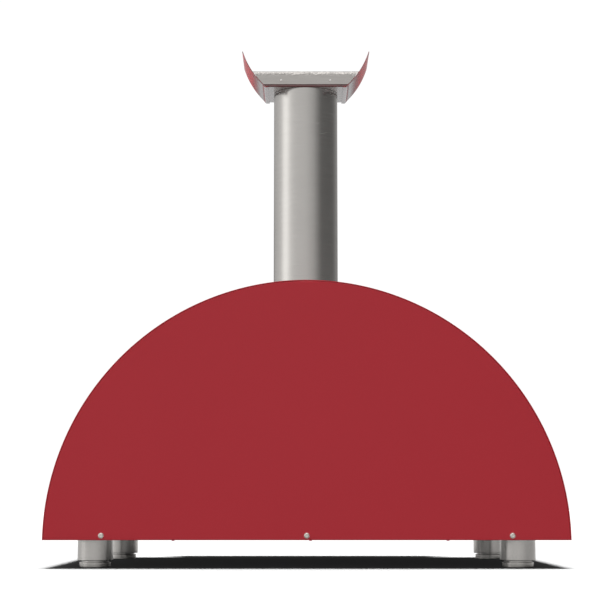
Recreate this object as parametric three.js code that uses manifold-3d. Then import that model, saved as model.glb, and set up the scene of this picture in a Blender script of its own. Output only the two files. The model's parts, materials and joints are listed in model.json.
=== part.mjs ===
// A countertop wood-fired pizza oven: a half-barrel body on four levelling feet, with a refractory
// floor and a steel vault inside, a hinged door in the front and a flue with a winged cap.
// Millimetres, +Z up. The mouth faces -Y and the flat rear panel faces +Y. The origin is on the
// floor, under the middle of the whole oven's footprint.

import * as THREE from "three";
import { mergeVertices } from "three/addons/utils/BufferGeometryUtils.js";
import Module from "manifold-3d";

const wasm = await Module();
wasm.setup();

// ---- Driving dimensions ----

const GAP = 0.3; // between pieces that touch
const ARC_STEPS = 24; // pairs of facets of a large half circle
const MOUTH_STEPS = 12; // pairs of facets of the mouth's arch
const ROUND_STEPS = 24; // facets of a pipe
const TURNED_STEPS = 18; // facets of a foot and of the thermometer
const SMALL_STEPS = 12; // facets of a screw, pin or bar

// Body: a half-barrel of sheet steel. Y runs from 0 at the rear face to -BODY_DEPTH at the front.
const BODY_RADIUS = 490;
const BODY_DEPTH = 668;
const BODY_BASE_Z = 52.5; // underside of the body above the floor
const ARC_DROP = 4; // how far the barrel's centre lies below the body's underside
const SHELL_WALL = 2;
const PANEL_WALL = 2;
const FLANGE_DEPTH = 14; // folded rim of the rear and front panels
const FLANGE_WALL = 1.5;
const TRAY_WALL = 2;
const TRAY_HEIGHT = 25;
const TRAY_CLEARANCE = 1; // between the tray's corners and the shell

// Hanging tabs under the rear panel.
const TAB_WIDTH = 5;
const TAB_DROP = 1.2;
const TAB_PITCH = 254.3;
const TAB_OFFSET = -7;

// Pan-head screws.
const SCREW_HEAD_RADIUS = 5.25;
const SCREW_HEAD_HEIGHT = 2.6;
const SCREW_EDGE_HEIGHT = 0.65; // straight side of the head
const SCREW_CROWN_RADIUS = 4.2; // where the head starts to flatten
const SCREW_CROWN_HEIGHT = 2.08;
const SCREW_SHANK_RADIUS = 2.5;
const SCREW_SHANK_LENGTH = 7;
const SCREW_TIP_CLEARANCE = 1;
const SCREW_HOLE_CLEARANCE = 0.35;
const SCREW_FROM_EDGE = 109; // side screws, in from the barrel
const SCREW_RISE = 8.4; // above the body's underside

// Feet.
const FOOT_FROM_EDGE = 88.6; // foot centres, in from the barrel
const FOOT_INSET = 90; // foot centres, in from the front and rear faces
const FOOT_RADIUS = 33.7;
const FOOT_WALL = 2;
const FOOT_FLOOR_WALL = 4;
const PAD_INSET = 4; // the pad is narrower than the foot
const PAD_HEIGHT = 10.5;
const PAD_NECK_INSET = 3.7;
const PAD_NECK_HEIGHT = 2;
const STUD_RADIUS = 8;
const STUD_CLEARANCE = 0.4;
const STUD_HEADROOM = 8; // between the stud and the top of the foot

// Oven chamber.
const FLOOR_BOARD_THICKNESS = 50;
const TILE_THICKNESS = 30;
const TILE_JOINT = 1;
const VAULT_RADIUS = 357;
const VAULT_WALL = 2;
const REAR_INSULATION = 62;
const FRONT_INSULATION = 58;
const BLANKET_CLEARANCE = 4; // between the fibre insulation and the shell

// Mouth: a segmental arch.
const MOUTH_HALF_WIDTH = 270;
const MOUTH_SIDE = 100;
const MOUTH_HEIGHT = 185;
const THROAT_WALL = 2;
const THROAT_PROUD = 1.5;

// Landing shelf.
const SHELF_BEYOND_MOUTH = 30;
const SHELF_DEPTH = 110;
const SHELF_WALL = 2;
const SHELF_HEM = 18;
const SHELF_FLANGE = 42;
const SHELF_BELOW_FLOOR = 1;
const SHELF_SCREW_X = 220;
const SHELF_SCREW_DROP = 30;

// Door.
const DOOR_OVERLAP = 16;
const DOOR_FLOOR_GAP = 2;
const DOOR_PANEL_GAP = 3;
const DOOR_DEPTH = 26;
const DOOR_WALL = 1.5;

// Door handle.
const HANDLE_RADIUS = 10;
const HANDLE_WAIST_RADIUS = 8.5;
const HANDLE_END_RADIUS = 7;
const HANDLE_END_ROUND = 5;
const HANDLE_LENGTH = 230;
const HANDLE_POST_X = 85;
const HANDLE_POST_RADIUS = 5;
const HANDLE_FOOT_RADIUS = 9;
const HANDLE_FOOT_HEIGHT = 3;
const HANDLE_FOOT_TAPER = 2;
const HANDLE_STANDOFF = 46;
const HANDLE_RISE = 95; // above the oven floor

// Door hinges: lift-off hinges whose pins point up.
const HINGE_OFFSET_X = 14; // pin axis outside the door's edge
const HINGE_PIN_RADIUS = 4;
const HINGE_PIN_CLEARANCE = 0.3;
const HINGE_BARREL_RADIUS = 7.5;
const HINGE_BARREL_LENGTH = 14;
const HINGE_RISES = [26, 82]; // hinge centres above the oven floor
const HINGE_LEAF_LENGTH = 42;
const HINGE_LEAF_WALL = 2.5;
const HINGE_STRAP_LENGTH = 95;
const HINGE_WEB = 6;
const HINGE_PIN_END = 1; // the pin stands this far past its barrel

// Thermometer in the front panel.
const DIAL_ABOVE_DOOR = 18; // between the door and the case
const DIAL_RADIUS = 31;
const DIAL_CASE_WALL = 2.5;
const DIAL_CASE_DEPTH = 18;
const DIAL_THICKNESS = 2;
const DIAL_GLASS_THICKNESS = 2.5;
const DIAL_LIP = 2;
const NEEDLE_ABOVE_DIAL = 1;
const NEEDLE_LENGTH = 25;
const NEEDLE_TAIL = 9;
const NEEDLE_HALF_WIDTH = 1.6;
const NEEDLE_TIP_HALF_WIDTH = 0.4;
const NEEDLE_THICKNESS = 1.2;
const NEEDLE_HUB_RADIUS = 3.2;
const NEEDLE_HUB_HEIGHT = 1.8;
const NEEDLE_SHAFT_RADIUS = 1.2;
const NEEDLE_REST = THREE.MathUtils.degToRad(-135); // from straight up, clockwise seen from the front
const STEM_RADIUS = 4;
const STEM_LENGTH = 86;
const STEM_CLEARANCE = 0.6;

// Flue.
const FLUE_RADIUS = 70;
const FLUE_WALL = 1.5;
const FLUE_FROM_FRONT = 168;
const FLUE_TOP_Z = 1019;
const FLUE_CLEARANCE = 0.6;
const SPIGOT_WALL = 2.2;
const SPIGOT_RISE = 115; // above the top of the vault
const SPIGOT_BEAD_RISE = 36;
const SPIGOT_BEAD_HEIGHT = 5;
const COLLAR_FLANGE = 27; // width of the saddle round the flue
const COLLAR_WALL = 2;
const COLLAR_RISE = 24; // sleeve above the top of the shell

// Flue cap.
const CAP_EDGE_DEPTH = 5; // from the flue to the front and rear edges
const CAP_WALL = 1.5;
const CAP_EDGE_WIDTH = 19; // from the flue to the crease where each wing starts
const CAP_SPIGOT_DEPTH = 40;
const CAP_UPSTAND = 24;
const WING_SPAN = 49.5;
const WING_RISE = 78;
const WING_RADIUS = 182;
const WING_FLANGE = 8;
const WING_STEPS = 5;
const HOOD_BOTTOM_RISE = 5.5; // above the cap's flat bottom
const HOOD_TOP_RISE = 36;
const HOOD_WING_CLEARANCE = 0.8;
const HOOD_STEPS = 4; // facets of the skirts' curved ends
const RIVET_X = 53.2;
const RIVET_RISE = 13.9;
const RIVET_HEAD_RADIUS = 2.35;
const RIVET_HEAD_HEIGHT = 1.2;
const RIVET_CROWN_RADIUS = 1.65;
const RIVET_TAIL_RADIUS = 2;
const RIVET_SHANK_RADIUS = 1.3;
const RIVET_CLEARANCE = 0.3;

// Ember guard, which stands on the oven floor beside the fire.
const GUARD_FROM_SIDE = 84; // in from the side of the oven floor
const GUARD_LENGTH = 300;
const GUARD_HEIGHT = 58;
const GUARD_BAR_RADIUS = 4;
const GUARD_UPRIGHTS = 3;
const GUARD_RAIL_RISES = [26, 54];

// ---- Places worked out from them ----

const ARC_CENTRE_Z = BODY_BASE_Z - ARC_DROP;
const FRONT_Y = -BODY_DEPTH;
const SCREW_SIDE_X = BODY_RADIUS - SCREW_FROM_EDGE;
const FOOT_X = BODY_RADIUS - FOOT_FROM_EDGE;
const PAD_RADIUS = FOOT_RADIUS - PAD_INSET;
const PAD_NECK_RADIUS = PAD_RADIUS - PAD_NECK_INSET;
const INNER_RADIUS = BODY_RADIUS - SHELL_WALL - GAP;
const TRAY_HALF_WIDTH = Math.sqrt((INNER_RADIUS - TRAY_CLEARANCE) ** 2 - (TRAY_HEIGHT + ARC_DROP) ** 2);
const SHELF_HALF_WIDTH = MOUTH_HALF_WIDTH + SHELF_BEYOND_MOUTH;
const SCREW_SPACE = SCREW_SHANK_LENGTH - PANEL_WALL + SCREW_TIP_CLEARANCE;
const TRAY_REAR_Y = -PANEL_WALL - GAP;
const TRAY_FRONT_Y = FRONT_Y + PANEL_WALL + GAP;
const BOARD_Z = BODY_BASE_Z + TRAY_WALL + GAP;
const TILE_Z = BOARD_Z + FLOOR_BOARD_THICKNESS + GAP;
const FLOOR_Z = TILE_Z + TILE_THICKNESS;
const FLOOR_HALF_WIDTH = Math.sqrt(VAULT_RADIUS ** 2 - (FLOOR_Z - ARC_CENTRE_Z) ** 2) - GAP;
const GUARD_X = GUARD_FROM_SIDE - FLOOR_HALF_WIDTH;
const REAR_INSULATION_Y = TRAY_REAR_Y - SCREW_SPACE;
const REAR_WALL_Y = REAR_INSULATION_Y - REAR_INSULATION - GAP;
const VAULT_REAR_Y = REAR_WALL_Y - VAULT_WALL - GAP;
const FRONT_INSULATION_Y = TRAY_FRONT_Y + FRONT_INSULATION + SCREW_SPACE;
const FRONT_WALL_Y = FRONT_INSULATION_Y + GAP + VAULT_WALL;
const VAULT_FRONT_Y = FRONT_WALL_Y + GAP;
const VAULT_OUTER = VAULT_RADIUS + VAULT_WALL;
const BLANKET_OUTER = BODY_RADIUS - SHELL_WALL - BLANKET_CLEARANCE;
const FLOOR_BOARD_HALF_WIDTH = Math.sqrt(BLANKET_OUTER ** 2 - (TILE_Z - ARC_CENTRE_Z) ** 2);
const SCREW_Z = BODY_BASE_Z + SCREW_RISE;
const SHELF_TOP_Z = FLOOR_Z - SHELF_BELOW_FLOOR;
const SHELF_SCREW_Z = SHELF_TOP_Z - SHELF_SCREW_DROP;
const DOOR_BACK_Y = FRONT_Y - DOOR_PANEL_GAP;
const DOOR_FACE_Y = DOOR_BACK_Y - DOOR_DEPTH;
const HINGE_X = -(MOUTH_HALF_WIDTH + DOOR_OVERLAP + HINGE_OFFSET_X);
const HINGE_Y = DOOR_BACK_Y - DOOR_DEPTH / 2;
const DIAL_CASE_RADIUS = DIAL_RADIUS + GAP + DIAL_CASE_WALL;
const DIAL_Z = FLOOR_Z + MOUTH_HEIGHT + DOOR_OVERLAP + DIAL_ABOVE_DOOR + DIAL_CASE_RADIUS;
const DIAL_BACK_Y = FRONT_Y - GAP;
const STEM_HOLE_RADIUS = STEM_RADIUS + STEM_CLEARANCE;
const FLUE_Y = FRONT_Y + FLUE_FROM_FRONT;
const VAULT_TOP_Z = ARC_CENTRE_Z + VAULT_OUTER;
const SPIGOT_BEAD_Z = VAULT_TOP_Z + SPIGOT_BEAD_RISE;
const FLUE_BOTTOM_Z = SPIGOT_BEAD_Z + SPIGOT_BEAD_HEIGHT + GAP;
const FLUE_HOLE_RADIUS = FLUE_RADIUS + FLUE_CLEARANCE;
const SPIGOT_RADIUS = FLUE_RADIUS - FLUE_WALL - GAP;
const COLLAR_RADIUS = FLUE_HOLE_RADIUS + COLLAR_FLANGE;
const CAP_HALF_DEPTH = FLUE_RADIUS + CAP_EDGE_DEPTH;
const CAP_HALF_WIDTH = FLUE_RADIUS + CAP_EDGE_WIDTH;
const LID_HALF_WIDTH = CAP_HALF_WIDTH;
const CAP_PLATE_Z = FLUE_TOP_Z + GAP;
const SKIRT_Y = CAP_HALF_DEPTH - CAP_WALL;
const UPSTAND_Y = SKIRT_Y - GAP;
const RIVET_Z = FLUE_TOP_Z + RIVET_RISE;

// ---- Solids ----

function toManifold(geometry) {
  const flat = geometry.index ? geometry.toNonIndexed() : geometry.clone();
  flat.deleteAttribute("normal");
  flat.deleteAttribute("uv");
  const merged = mergeVertices(flat, 1e-4);
  return new wasm.Manifold(
    new wasm.Mesh({
      numProp: 3,
      vertProperties: merged.attributes.position.array,
      triVerts: new Uint32Array(merged.index.array),
    }),
  );
}

function toGeometry(solid) {
  const mesh = solid.getMesh();
  const geometry = new THREE.BufferGeometry();
  geometry.setAttribute("position", new THREE.BufferAttribute(mesh.vertProperties, 3));
  geometry.setIndex(new THREE.BufferAttribute(mesh.triVerts, 1));
  geometry.computeVertexNormals();
  return geometry;
}

function join(first, ...others) {
  return toGeometry(others.reduce((sum, g) => sum.add(toManifold(g)), toManifold(first)));
}

function cut(first, ...tools) {
  return toGeometry(tools.reduce((rest, g) => rest.subtract(toManifold(g)), toManifold(first)));
}

function common(first, second) {
  return toGeometry(toManifold(first).intersect(toManifold(second)));
}

// A box between two corners.
function block(low, high) {
  const size = high.map((value, i) => value - low[i]);
  const middle = high.map((value, i) => (value + low[i]) / 2);
  return new THREE.BoxGeometry(...size).translate(...middle);
}

// An outline in X and Z, extruded from yBack towards the front.
function slab(outline, yBack, depth, curveSegments = ARC_STEPS) {
  const options = { depth, bevelEnabled: false, curveSegments };
  return new THREE.ExtrudeGeometry(outline, options).rotateX(Math.PI / 2).translate(0, yBack, 0);
}

// A profile of [radius, height] points turned about the Z axis.
function turned(profile, steps = ROUND_STEPS) {
  const points = profile.map(([radius, height]) => new THREE.Vector2(radius, height));
  return new THREE.LatheGeometry(points, steps).rotateX(Math.PI / 2);
}

function rod(radius, low, high, steps = SMALL_STEPS) {
  return turned([[0, low], [radius, low], [radius, high], [0, high]], steps);
}

function pipe(inner, outer, low, high, steps = ROUND_STEPS) {
  return turned([[inner, low], [outer, low], [outer, high], [inner, high], [inner, low]], steps);
}

// Turned work lies along Z. This lays it along Y, with its +Z end at the front.
function facingFront(geometry) {
  return geometry.rotateX(Math.PI / 2);
}

// ---- Outlines in the XZ plane ----

// The angle at which a circle about the barrel's centre crosses a height.
function angleAt(radius, z) {
  return Math.asin((z - ARC_CENTRE_Z) / radius);
}

// The part of a disc about the barrel's centre that lies above baseZ.
function segmentOutline(radius, baseZ) {
  const start = angleAt(radius, baseZ);
  const outline = new THREE.Shape();
  outline.absarc(0, ARC_CENTRE_Z, radius, start, Math.PI - start, false);
  outline.closePath();
  return outline;
}

// The part of a ring about the barrel's centre that lies above baseZ.
function bandOutline(inner, outer, baseZ) {
  const outerStart = angleAt(outer, baseZ);
  const innerStart = angleAt(inner, baseZ);
  const outline = new THREE.Shape();
  outline.absarc(0, ARC_CENTRE_Z, outer, outerStart, Math.PI - outerStart, false);
  outline.absarc(0, ARC_CENTRE_Z, inner, Math.PI - innerStart, innerStart, true);
  outline.closePath();
  return outline;
}

// The mouth's arch, grown outwards by an even margin.
function archOutline(grow, bottomZ, Kind = THREE.Shape) {
  const sagitta = MOUTH_HEIGHT - MOUTH_SIDE;
  const radius = (MOUTH_HALF_WIDTH ** 2 + sagitta ** 2) / (2 * sagitta);
  const centreZ = FLOOR_Z + MOUTH_HEIGHT - radius;
  const halfWidth = MOUTH_HALF_WIDTH + grow;
  const start = Math.acos(halfWidth / (radius + grow));
  const outline = new Kind();
  outline.moveTo(-halfWidth, bottomZ);
  outline.lineTo(halfWidth, bottomZ);
  outline.absarc(0, centreZ, radius + grow, start, Math.PI - start, false);
  outline.closePath();
  return outline;
}

function archSlab(grow, bottomZ, yBack, depth) {
  return slab(archOutline(grow, bottomZ), yBack, depth, MOUTH_STEPS);
}

// ---- Body ----

// Tools for a row of screw holes through sheet metal at y.
function screwHoles(places, y, z) {
  const radius = SCREW_SHANK_RADIUS + SCREW_HOLE_CLEARANCE;
  return places.map((x) => {
    return facingFront(rod(radius, -SCREW_SHANK_LENGTH, SCREW_SHANK_LENGTH)).translate(x, y, z);
  });
}

function baseTray() {
  const low = [-TRAY_HALF_WIDTH, TRAY_FRONT_Y, BODY_BASE_Z];
  const high = [TRAY_HALF_WIDTH, TRAY_REAR_Y, BODY_BASE_Z + TRAY_HEIGHT];
  const inside = block(
    [low[0] + TRAY_WALL, low[1] + TRAY_WALL, low[2] + TRAY_WALL],
    [high[0] - TRAY_WALL, high[1] - TRAY_WALL, high[2] + TRAY_WALL],
  );
  const rearHoles = screwHoles([-SCREW_SIDE_X, 0, SCREW_SIDE_X], TRAY_REAR_Y, SCREW_Z);
  const frontHoles = screwHoles([-SCREW_SIDE_X, SCREW_SIDE_X], TRAY_FRONT_Y, SCREW_Z);
  return cut(block(low, high), inside, ...rearHoles, ...frontHoles);
}

function outerShell() {
  const sheet = slab(bandOutline(BODY_RADIUS - SHELL_WALL, BODY_RADIUS, BODY_BASE_Z), 0, BODY_DEPTH);
  const hole = rod(FLUE_HOLE_RADIUS, ARC_CENTRE_Z, FLUE_TOP_Z, ROUND_STEPS).translate(0, FLUE_Y, 0);
  return cut(sheet, hole);
}

// A panel whose curved edge is folded to a rim, which stops clear of the tray's corners.
// The sheet's back is at yBack when the rim runs to the front, and the other way round.
function rimmedPanel(yBack, rimInFront) {
  const sheet = slab(segmentOutline(INNER_RADIUS, BODY_BASE_Z), yBack, FLANGE_DEPTH);
  const hollowY = yBack - (rimInFront ? PANEL_WALL : -PANEL_WALL);
  const hollow = slab(segmentOutline(INNER_RADIUS - FLANGE_WALL, ARC_CENTRE_Z), hollowY, FLANGE_DEPTH);
  const corners = block(
    [-BODY_RADIUS, hollowY - FLANGE_DEPTH, ARC_CENTRE_Z],
    [BODY_RADIUS, hollowY, BODY_BASE_Z + TRAY_HEIGHT + 2 * TRAY_WALL],
  );
  return cut(sheet, hollow, corners);
}

function rearPanel() {
  const tabs = [-1, 0, 1].map((place) => {
    const x = TAB_OFFSET + place * TAB_PITCH;
    const low = [x - TAB_WIDTH / 2, -PANEL_WALL, BODY_BASE_Z - TAB_DROP];
    return block(low, [x + TAB_WIDTH / 2, 0, BODY_BASE_Z + TAB_DROP]);
  });
  const holes = screwHoles([-SCREW_SIDE_X, 0, SCREW_SIDE_X], 0, SCREW_Z);
  return cut(join(rimmedPanel(0, true), ...tabs), ...holes);
}

function frontPanel() {
  const margin = THROAT_WALL + GAP;
  const mouth = archSlab(margin, FLOOR_Z - margin, FRONT_Y + 2 * PANEL_WALL, 3 * PANEL_WALL);
  const holes = screwHoles([-SCREW_SIDE_X, SCREW_SIDE_X], FRONT_Y, SCREW_Z);
  const shelfHoles = screwHoles([-SHELF_SCREW_X, SHELF_SCREW_X], FRONT_Y, SHELF_SCREW_Z);
  const panel = rimmedPanel(FRONT_Y + FLANGE_DEPTH, false);
  return cut(panel, mouth, stemHole(), ...holes, ...shelfHoles);
}

// A hole for the thermometer's stem, from in front of the panel to behind the inner wall.
function stemHole() {
  const half = FRONT_WALL_Y - FRONT_Y;
  return facingFront(rod(STEM_HOLE_RADIUS, -half, half)).translate(0, FRONT_Y, DIAL_Z);
}

// A screw whose shank lies along Z and whose head is on top of z = 0.
function screwProfile() {
  return [
    [0, -SCREW_SHANK_LENGTH],
    [SCREW_SHANK_RADIUS, -SCREW_SHANK_LENGTH],
    [SCREW_SHANK_RADIUS, GAP],
    [SCREW_HEAD_RADIUS, GAP],
    [SCREW_HEAD_RADIUS, GAP + SCREW_EDGE_HEIGHT],
    [SCREW_CROWN_RADIUS, GAP + SCREW_CROWN_HEIGHT],
    [0, GAP + SCREW_HEAD_HEIGHT],
  ];
}

function frontScrew() {
  return facingFront(turned(screwProfile(), SMALL_STEPS));
}

function rearScrew() {
  return frontScrew().rotateZ(Math.PI);
}

// ---- Feet ----

function footTube() {
  const bottom = PAD_HEIGHT + PAD_NECK_HEIGHT + GAP;
  const top = BODY_BASE_Z - GAP;
  const hole = STUD_RADIUS + STUD_CLEARANCE;
  return turned([
    [0, top - FOOT_WALL],
    [FOOT_RADIUS - FOOT_WALL, top - FOOT_WALL],
    [FOOT_RADIUS - FOOT_WALL, bottom + FOOT_FLOOR_WALL],
    [hole, bottom + FOOT_FLOOR_WALL],
    [hole, bottom],
    [FOOT_RADIUS, bottom],
    [FOOT_RADIUS, top],
    [0, top],
  ], TURNED_STEPS);
}

function footPad() {
  const neckTop = PAD_HEIGHT + PAD_NECK_HEIGHT;
  const studTop = BODY_BASE_Z - GAP - FOOT_WALL - STUD_HEADROOM;
  return turned([
    [0, 0],
    [PAD_RADIUS, 0],
    [PAD_RADIUS, PAD_HEIGHT],
    [PAD_NECK_RADIUS, PAD_HEIGHT],
    [PAD_NECK_RADIUS, neckTop],
    [STUD_RADIUS, neckTop],
    [STUD_RADIUS, studTop],
    [0, studTop],
  ], TURNED_STEPS);
}

// ---- Chamber ----

function floorInsulation() {
  const front = TRAY_FRONT_Y + SCREW_SPACE;
  const rear = REAR_WALL_Y - GAP;
  return block(
    [-FLOOR_BOARD_HALF_WIDTH, front, BOARD_Z],
    [FLOOR_BOARD_HALF_WIDTH, rear, BOARD_Z + FLOOR_BOARD_THICKNESS],
  );
}

// One of four tiles: column and row are 0 or 1.
function floorTile(column, row) {
  const width = FLOOR_HALF_WIDTH - TILE_JOINT / 2;
  const depth = (VAULT_REAR_Y - VAULT_FRONT_Y - TILE_JOINT) / 2;
  const x = column ? TILE_JOINT / 2 : -FLOOR_HALF_WIDTH;
  const y = VAULT_FRONT_Y + row * (depth + TILE_JOINT);
  return block([x, y, TILE_Z], [x + width, y + depth, FLOOR_Z]);
}

function innerVault() {
  const depth = VAULT_REAR_Y - VAULT_FRONT_Y;
  const sheet = slab(bandOutline(VAULT_RADIUS, VAULT_OUTER, TILE_Z), VAULT_REAR_Y, depth);
  const bore = SPIGOT_RADIUS - SPIGOT_WALL;
  return cut(sheet, rod(bore, ARC_CENTRE_Z, FLUE_TOP_Z, ROUND_STEPS).translate(0, FLUE_Y, 0));
}

function innerRearWall() {
  return slab(segmentOutline(VAULT_OUTER, TILE_Z), REAR_WALL_Y, VAULT_WALL);
}

function innerFrontWall() {
  const outline = segmentOutline(VAULT_OUTER, TILE_Z);
  const margin = THROAT_WALL + GAP;
  const sheet = slab(outline, FRONT_WALL_Y, VAULT_WALL);
  const mouth = archSlab(margin, FLOOR_Z - margin, FRONT_WALL_Y + VAULT_WALL, 3 * VAULT_WALL);
  return cut(sheet, mouth, stemHole());
}

function vaultInsulation() {
  const depth = REAR_WALL_Y - GAP - (FRONT_WALL_Y + GAP);
  const blanket = slab(bandOutline(VAULT_OUTER + GAP, BLANKET_OUTER, TILE_Z), REAR_WALL_Y - GAP, depth);
  const hole = rod(FLUE_HOLE_RADIUS + GAP, ARC_CENTRE_Z, FLUE_TOP_Z, ROUND_STEPS).translate(0, FLUE_Y, 0);
  return cut(blanket, hole);
}

function rearInsulation() {
  return slab(segmentOutline(BLANKET_OUTER - FLANGE_WALL, BOARD_Z), REAR_INSULATION_Y, REAR_INSULATION);
}

function frontInsulation() {
  const outline = segmentOutline(BLANKET_OUTER - FLANGE_WALL, TILE_Z);
  const sheet = slab(outline, FRONT_INSULATION_Y, FRONT_INSULATION);
  const margin = THROAT_WALL + GAP;
  const mouth = archSlab(margin, FLOOR_Z - margin, FRONT_WALL_Y, 2 * FRONT_INSULATION);
  return cut(sheet, mouth, stemHole());
}

function mouthThroat() {
  const outline = archOutline(THROAT_WALL, FLOOR_Z - THROAT_WALL);
  outline.holes.push(archOutline(0, FLOOR_Z, THREE.Path));
  const rear = FRONT_WALL_Y;
  return slab(outline, rear, rear - FRONT_Y + THROAT_PROUD, MOUTH_STEPS);
}

function emberGuard() {
  const half = GUARD_LENGTH / 2;
  const radius = GUARD_BAR_RADIUS;
  const rails = GUARD_RAIL_RISES.map((rise) => {
    return facingFront(rod(radius, -half, half, SMALL_STEPS / 2)).translate(0, 0, rise);
  });
  const uprights = Array.from({ length: GUARD_UPRIGHTS }, (_, i) => {
    const y = -half + radius + (i * (GUARD_LENGTH - 2 * radius)) / (GUARD_UPRIGHTS - 1);
    return rod(radius, 0, GUARD_HEIGHT, SMALL_STEPS / 2).translate(0, y, 0);
  });
  const base = block([-4 * radius, -half, 0], [4 * radius, half, FOOT_WALL]);
  const middleY = (VAULT_FRONT_Y + VAULT_REAR_Y) / 2;
  return join(base, ...uprights, ...rails).translate(GUARD_X, middleY, FLOOR_Z + GAP);
}

// ---- Shelf ----

function landingShelf() {
  const rear = FRONT_Y - GAP;
  const front = rear - SHELF_DEPTH;
  const bottom = SHELF_TOP_Z - SHELF_HEM;
  const tray = block([-SHELF_HALF_WIDTH, front, bottom], [SHELF_HALF_WIDTH, rear, SHELF_TOP_Z]);
  const hollow = block(
    [-SHELF_HALF_WIDTH + SHELF_WALL, front + SHELF_WALL, bottom - SHELF_WALL],
    [SHELF_HALF_WIDTH - SHELF_WALL, rear - SHELF_WALL, SHELF_TOP_Z - SHELF_WALL],
  );
  const flange = block(
    [-SHELF_HALF_WIDTH, rear - SHELF_WALL, SHELF_TOP_Z - SHELF_FLANGE],
    [SHELF_HALF_WIDTH, rear, bottom + SHELF_WALL],
  );
  const lip = archSlab(THROAT_WALL + GAP, FLOOR_Z - THROAT_WALL - GAP, rear + GAP, 2 * THROAT_PROUD);
  const holes = screwHoles([-SHELF_SCREW_X, SHELF_SCREW_X], rear, SHELF_SCREW_Z);
  return cut(join(cut(tray, hollow), flange), lip, ...holes);
}

// ---- Door ----

const DOOR_BOTTOM_Z = FLOOR_Z + DOOR_FLOOR_GAP;

function doorOuterSkin() {
  const full = archSlab(DOOR_OVERLAP, DOOR_BOTTOM_Z, DOOR_BACK_Y, DOOR_DEPTH);
  const margin = DOOR_OVERLAP - DOOR_WALL;
  return cut(full, archSlab(margin, DOOR_BOTTOM_Z + DOOR_WALL, DOOR_BACK_Y + DOOR_WALL, DOOR_DEPTH));
}

// A slab that fits inside the door's outer skin.
function doorFilling(behind, depth) {
  const margin = DOOR_OVERLAP - DOOR_WALL - GAP;
  return archSlab(margin, DOOR_BOTTOM_Z + DOOR_WALL + GAP, DOOR_BACK_Y - behind, depth);
}

function doorInnerSkin() {
  return doorFilling(0, DOOR_WALL);
}

function doorInsulation() {
  return doorFilling(DOOR_WALL + GAP, DOOR_DEPTH - 2 * DOOR_WALL - 2 * GAP);
}

function handleBar() {
  const half = HANDLE_LENGTH / 2;
  const bar = turned(
    [
      [0, -half],
      [HANDLE_END_RADIUS, -half],
      [HANDLE_RADIUS, -half + HANDLE_END_ROUND],
      [HANDLE_WAIST_RADIUS, -half / 2],
      [HANDLE_RADIUS, 0],
      [HANDLE_WAIST_RADIUS, half / 2],
      [HANDLE_RADIUS, half - HANDLE_END_ROUND],
      [HANDLE_END_RADIUS, half],
      [0, half],
    ],
    SMALL_STEPS,
  ).rotateY(Math.PI / 2);
  const sockets = [-HANDLE_POST_X, HANDLE_POST_X].map((x) =>
    facingFront(rod(HANDLE_POST_RADIUS + GAP, -2 * HANDLE_RADIUS, 0)).translate(x, 0, 0),
  );
  const y = DOOR_FACE_Y - HANDLE_STANDOFF;
  return cut(bar, ...sockets).translate(0, y, FLOOR_Z + HANDLE_RISE);
}

// A post that stands on the door's face and ends inside the bar.
function handlePost(x) {
  const reach = HANDLE_STANDOFF - GAP;
  const profile = [
    [0, GAP],
    [HANDLE_FOOT_RADIUS, GAP],
    [HANDLE_FOOT_RADIUS, HANDLE_FOOT_HEIGHT],
    [HANDLE_POST_RADIUS, HANDLE_FOOT_HEIGHT + HANDLE_FOOT_TAPER],
    [HANDLE_POST_RADIUS, reach],
    [0, reach],
  ];
  const post = turned(profile, SMALL_STEPS);
  return facingFront(post).translate(x, DOOR_FACE_Y, FLOOR_Z + HANDLE_RISE);
}

// The fixed half of a hinge, with its pin.
function hingeBracket(rise) {
  const z = FLOOR_Z + rise;
  const low = z - HINGE_BARREL_LENGTH;
  const high = z - GAP / 2;
  const rear = FRONT_Y - GAP;
  const barrel = rod(HINGE_BARREL_RADIUS, low, high).translate(HINGE_X, HINGE_Y, 0);
  const pinTop = z + HINGE_BARREL_LENGTH + HINGE_PIN_END;
  const pin = rod(HINGE_PIN_RADIUS, low + HINGE_PIN_END, pinTop, ROUND_STEPS);
  const web = block([HINGE_X - HINGE_WEB, HINGE_Y, low], [HINGE_X, rear, high]);
  const leaf = block(
    [HINGE_X - HINGE_LEAF_LENGTH, rear - HINGE_LEAF_WALL, low],
    [HINGE_X, rear, z + HINGE_BARREL_LENGTH],
  );
  return join(barrel, web, leaf, pin.translate(HINGE_X, HINGE_Y, 0));
}

// The door's half of a hinge, which drops over the pin.
function hingeStrap(rise) {
  const low = FLOOR_Z + rise + GAP / 2;
  const high = FLOOR_Z + rise + HINGE_BARREL_LENGTH;
  const face = DOOR_FACE_Y - GAP;
  const barrel = rod(HINGE_BARREL_RADIUS, low, high).translate(HINGE_X, HINGE_Y, 0);
  const outer = face - HINGE_LEAF_WALL;
  const web = block([HINGE_X - HINGE_WEB / 2, outer, low], [HINGE_X + HINGE_WEB, HINGE_Y, high]);
  const strap = block([HINGE_X, outer, low], [HINGE_X + HINGE_STRAP_LENGTH, face, high]);
  const hole = rod(HINGE_PIN_RADIUS + HINGE_PIN_CLEARANCE, low - HINGE_WEB, high + HINGE_WEB, ROUND_STEPS);
  return cut(join(barrel, web, strap), hole.translate(HINGE_X, HINGE_Y, 0));
}

// ---- Thermometer ----

// Heights forward of the front panel.
const DIAL_FLOOR = DIAL_CASE_WALL;
const DIAL_TOP = DIAL_FLOOR + GAP + DIAL_THICKNESS;
const GLASS_BACK = DIAL_CASE_DEPTH - DIAL_LIP - GAP - DIAL_GLASS_THICKNESS;

function onFrontPanel(geometry) {
  return facingFront(geometry).translate(0, DIAL_BACK_Y, DIAL_Z);
}

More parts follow.
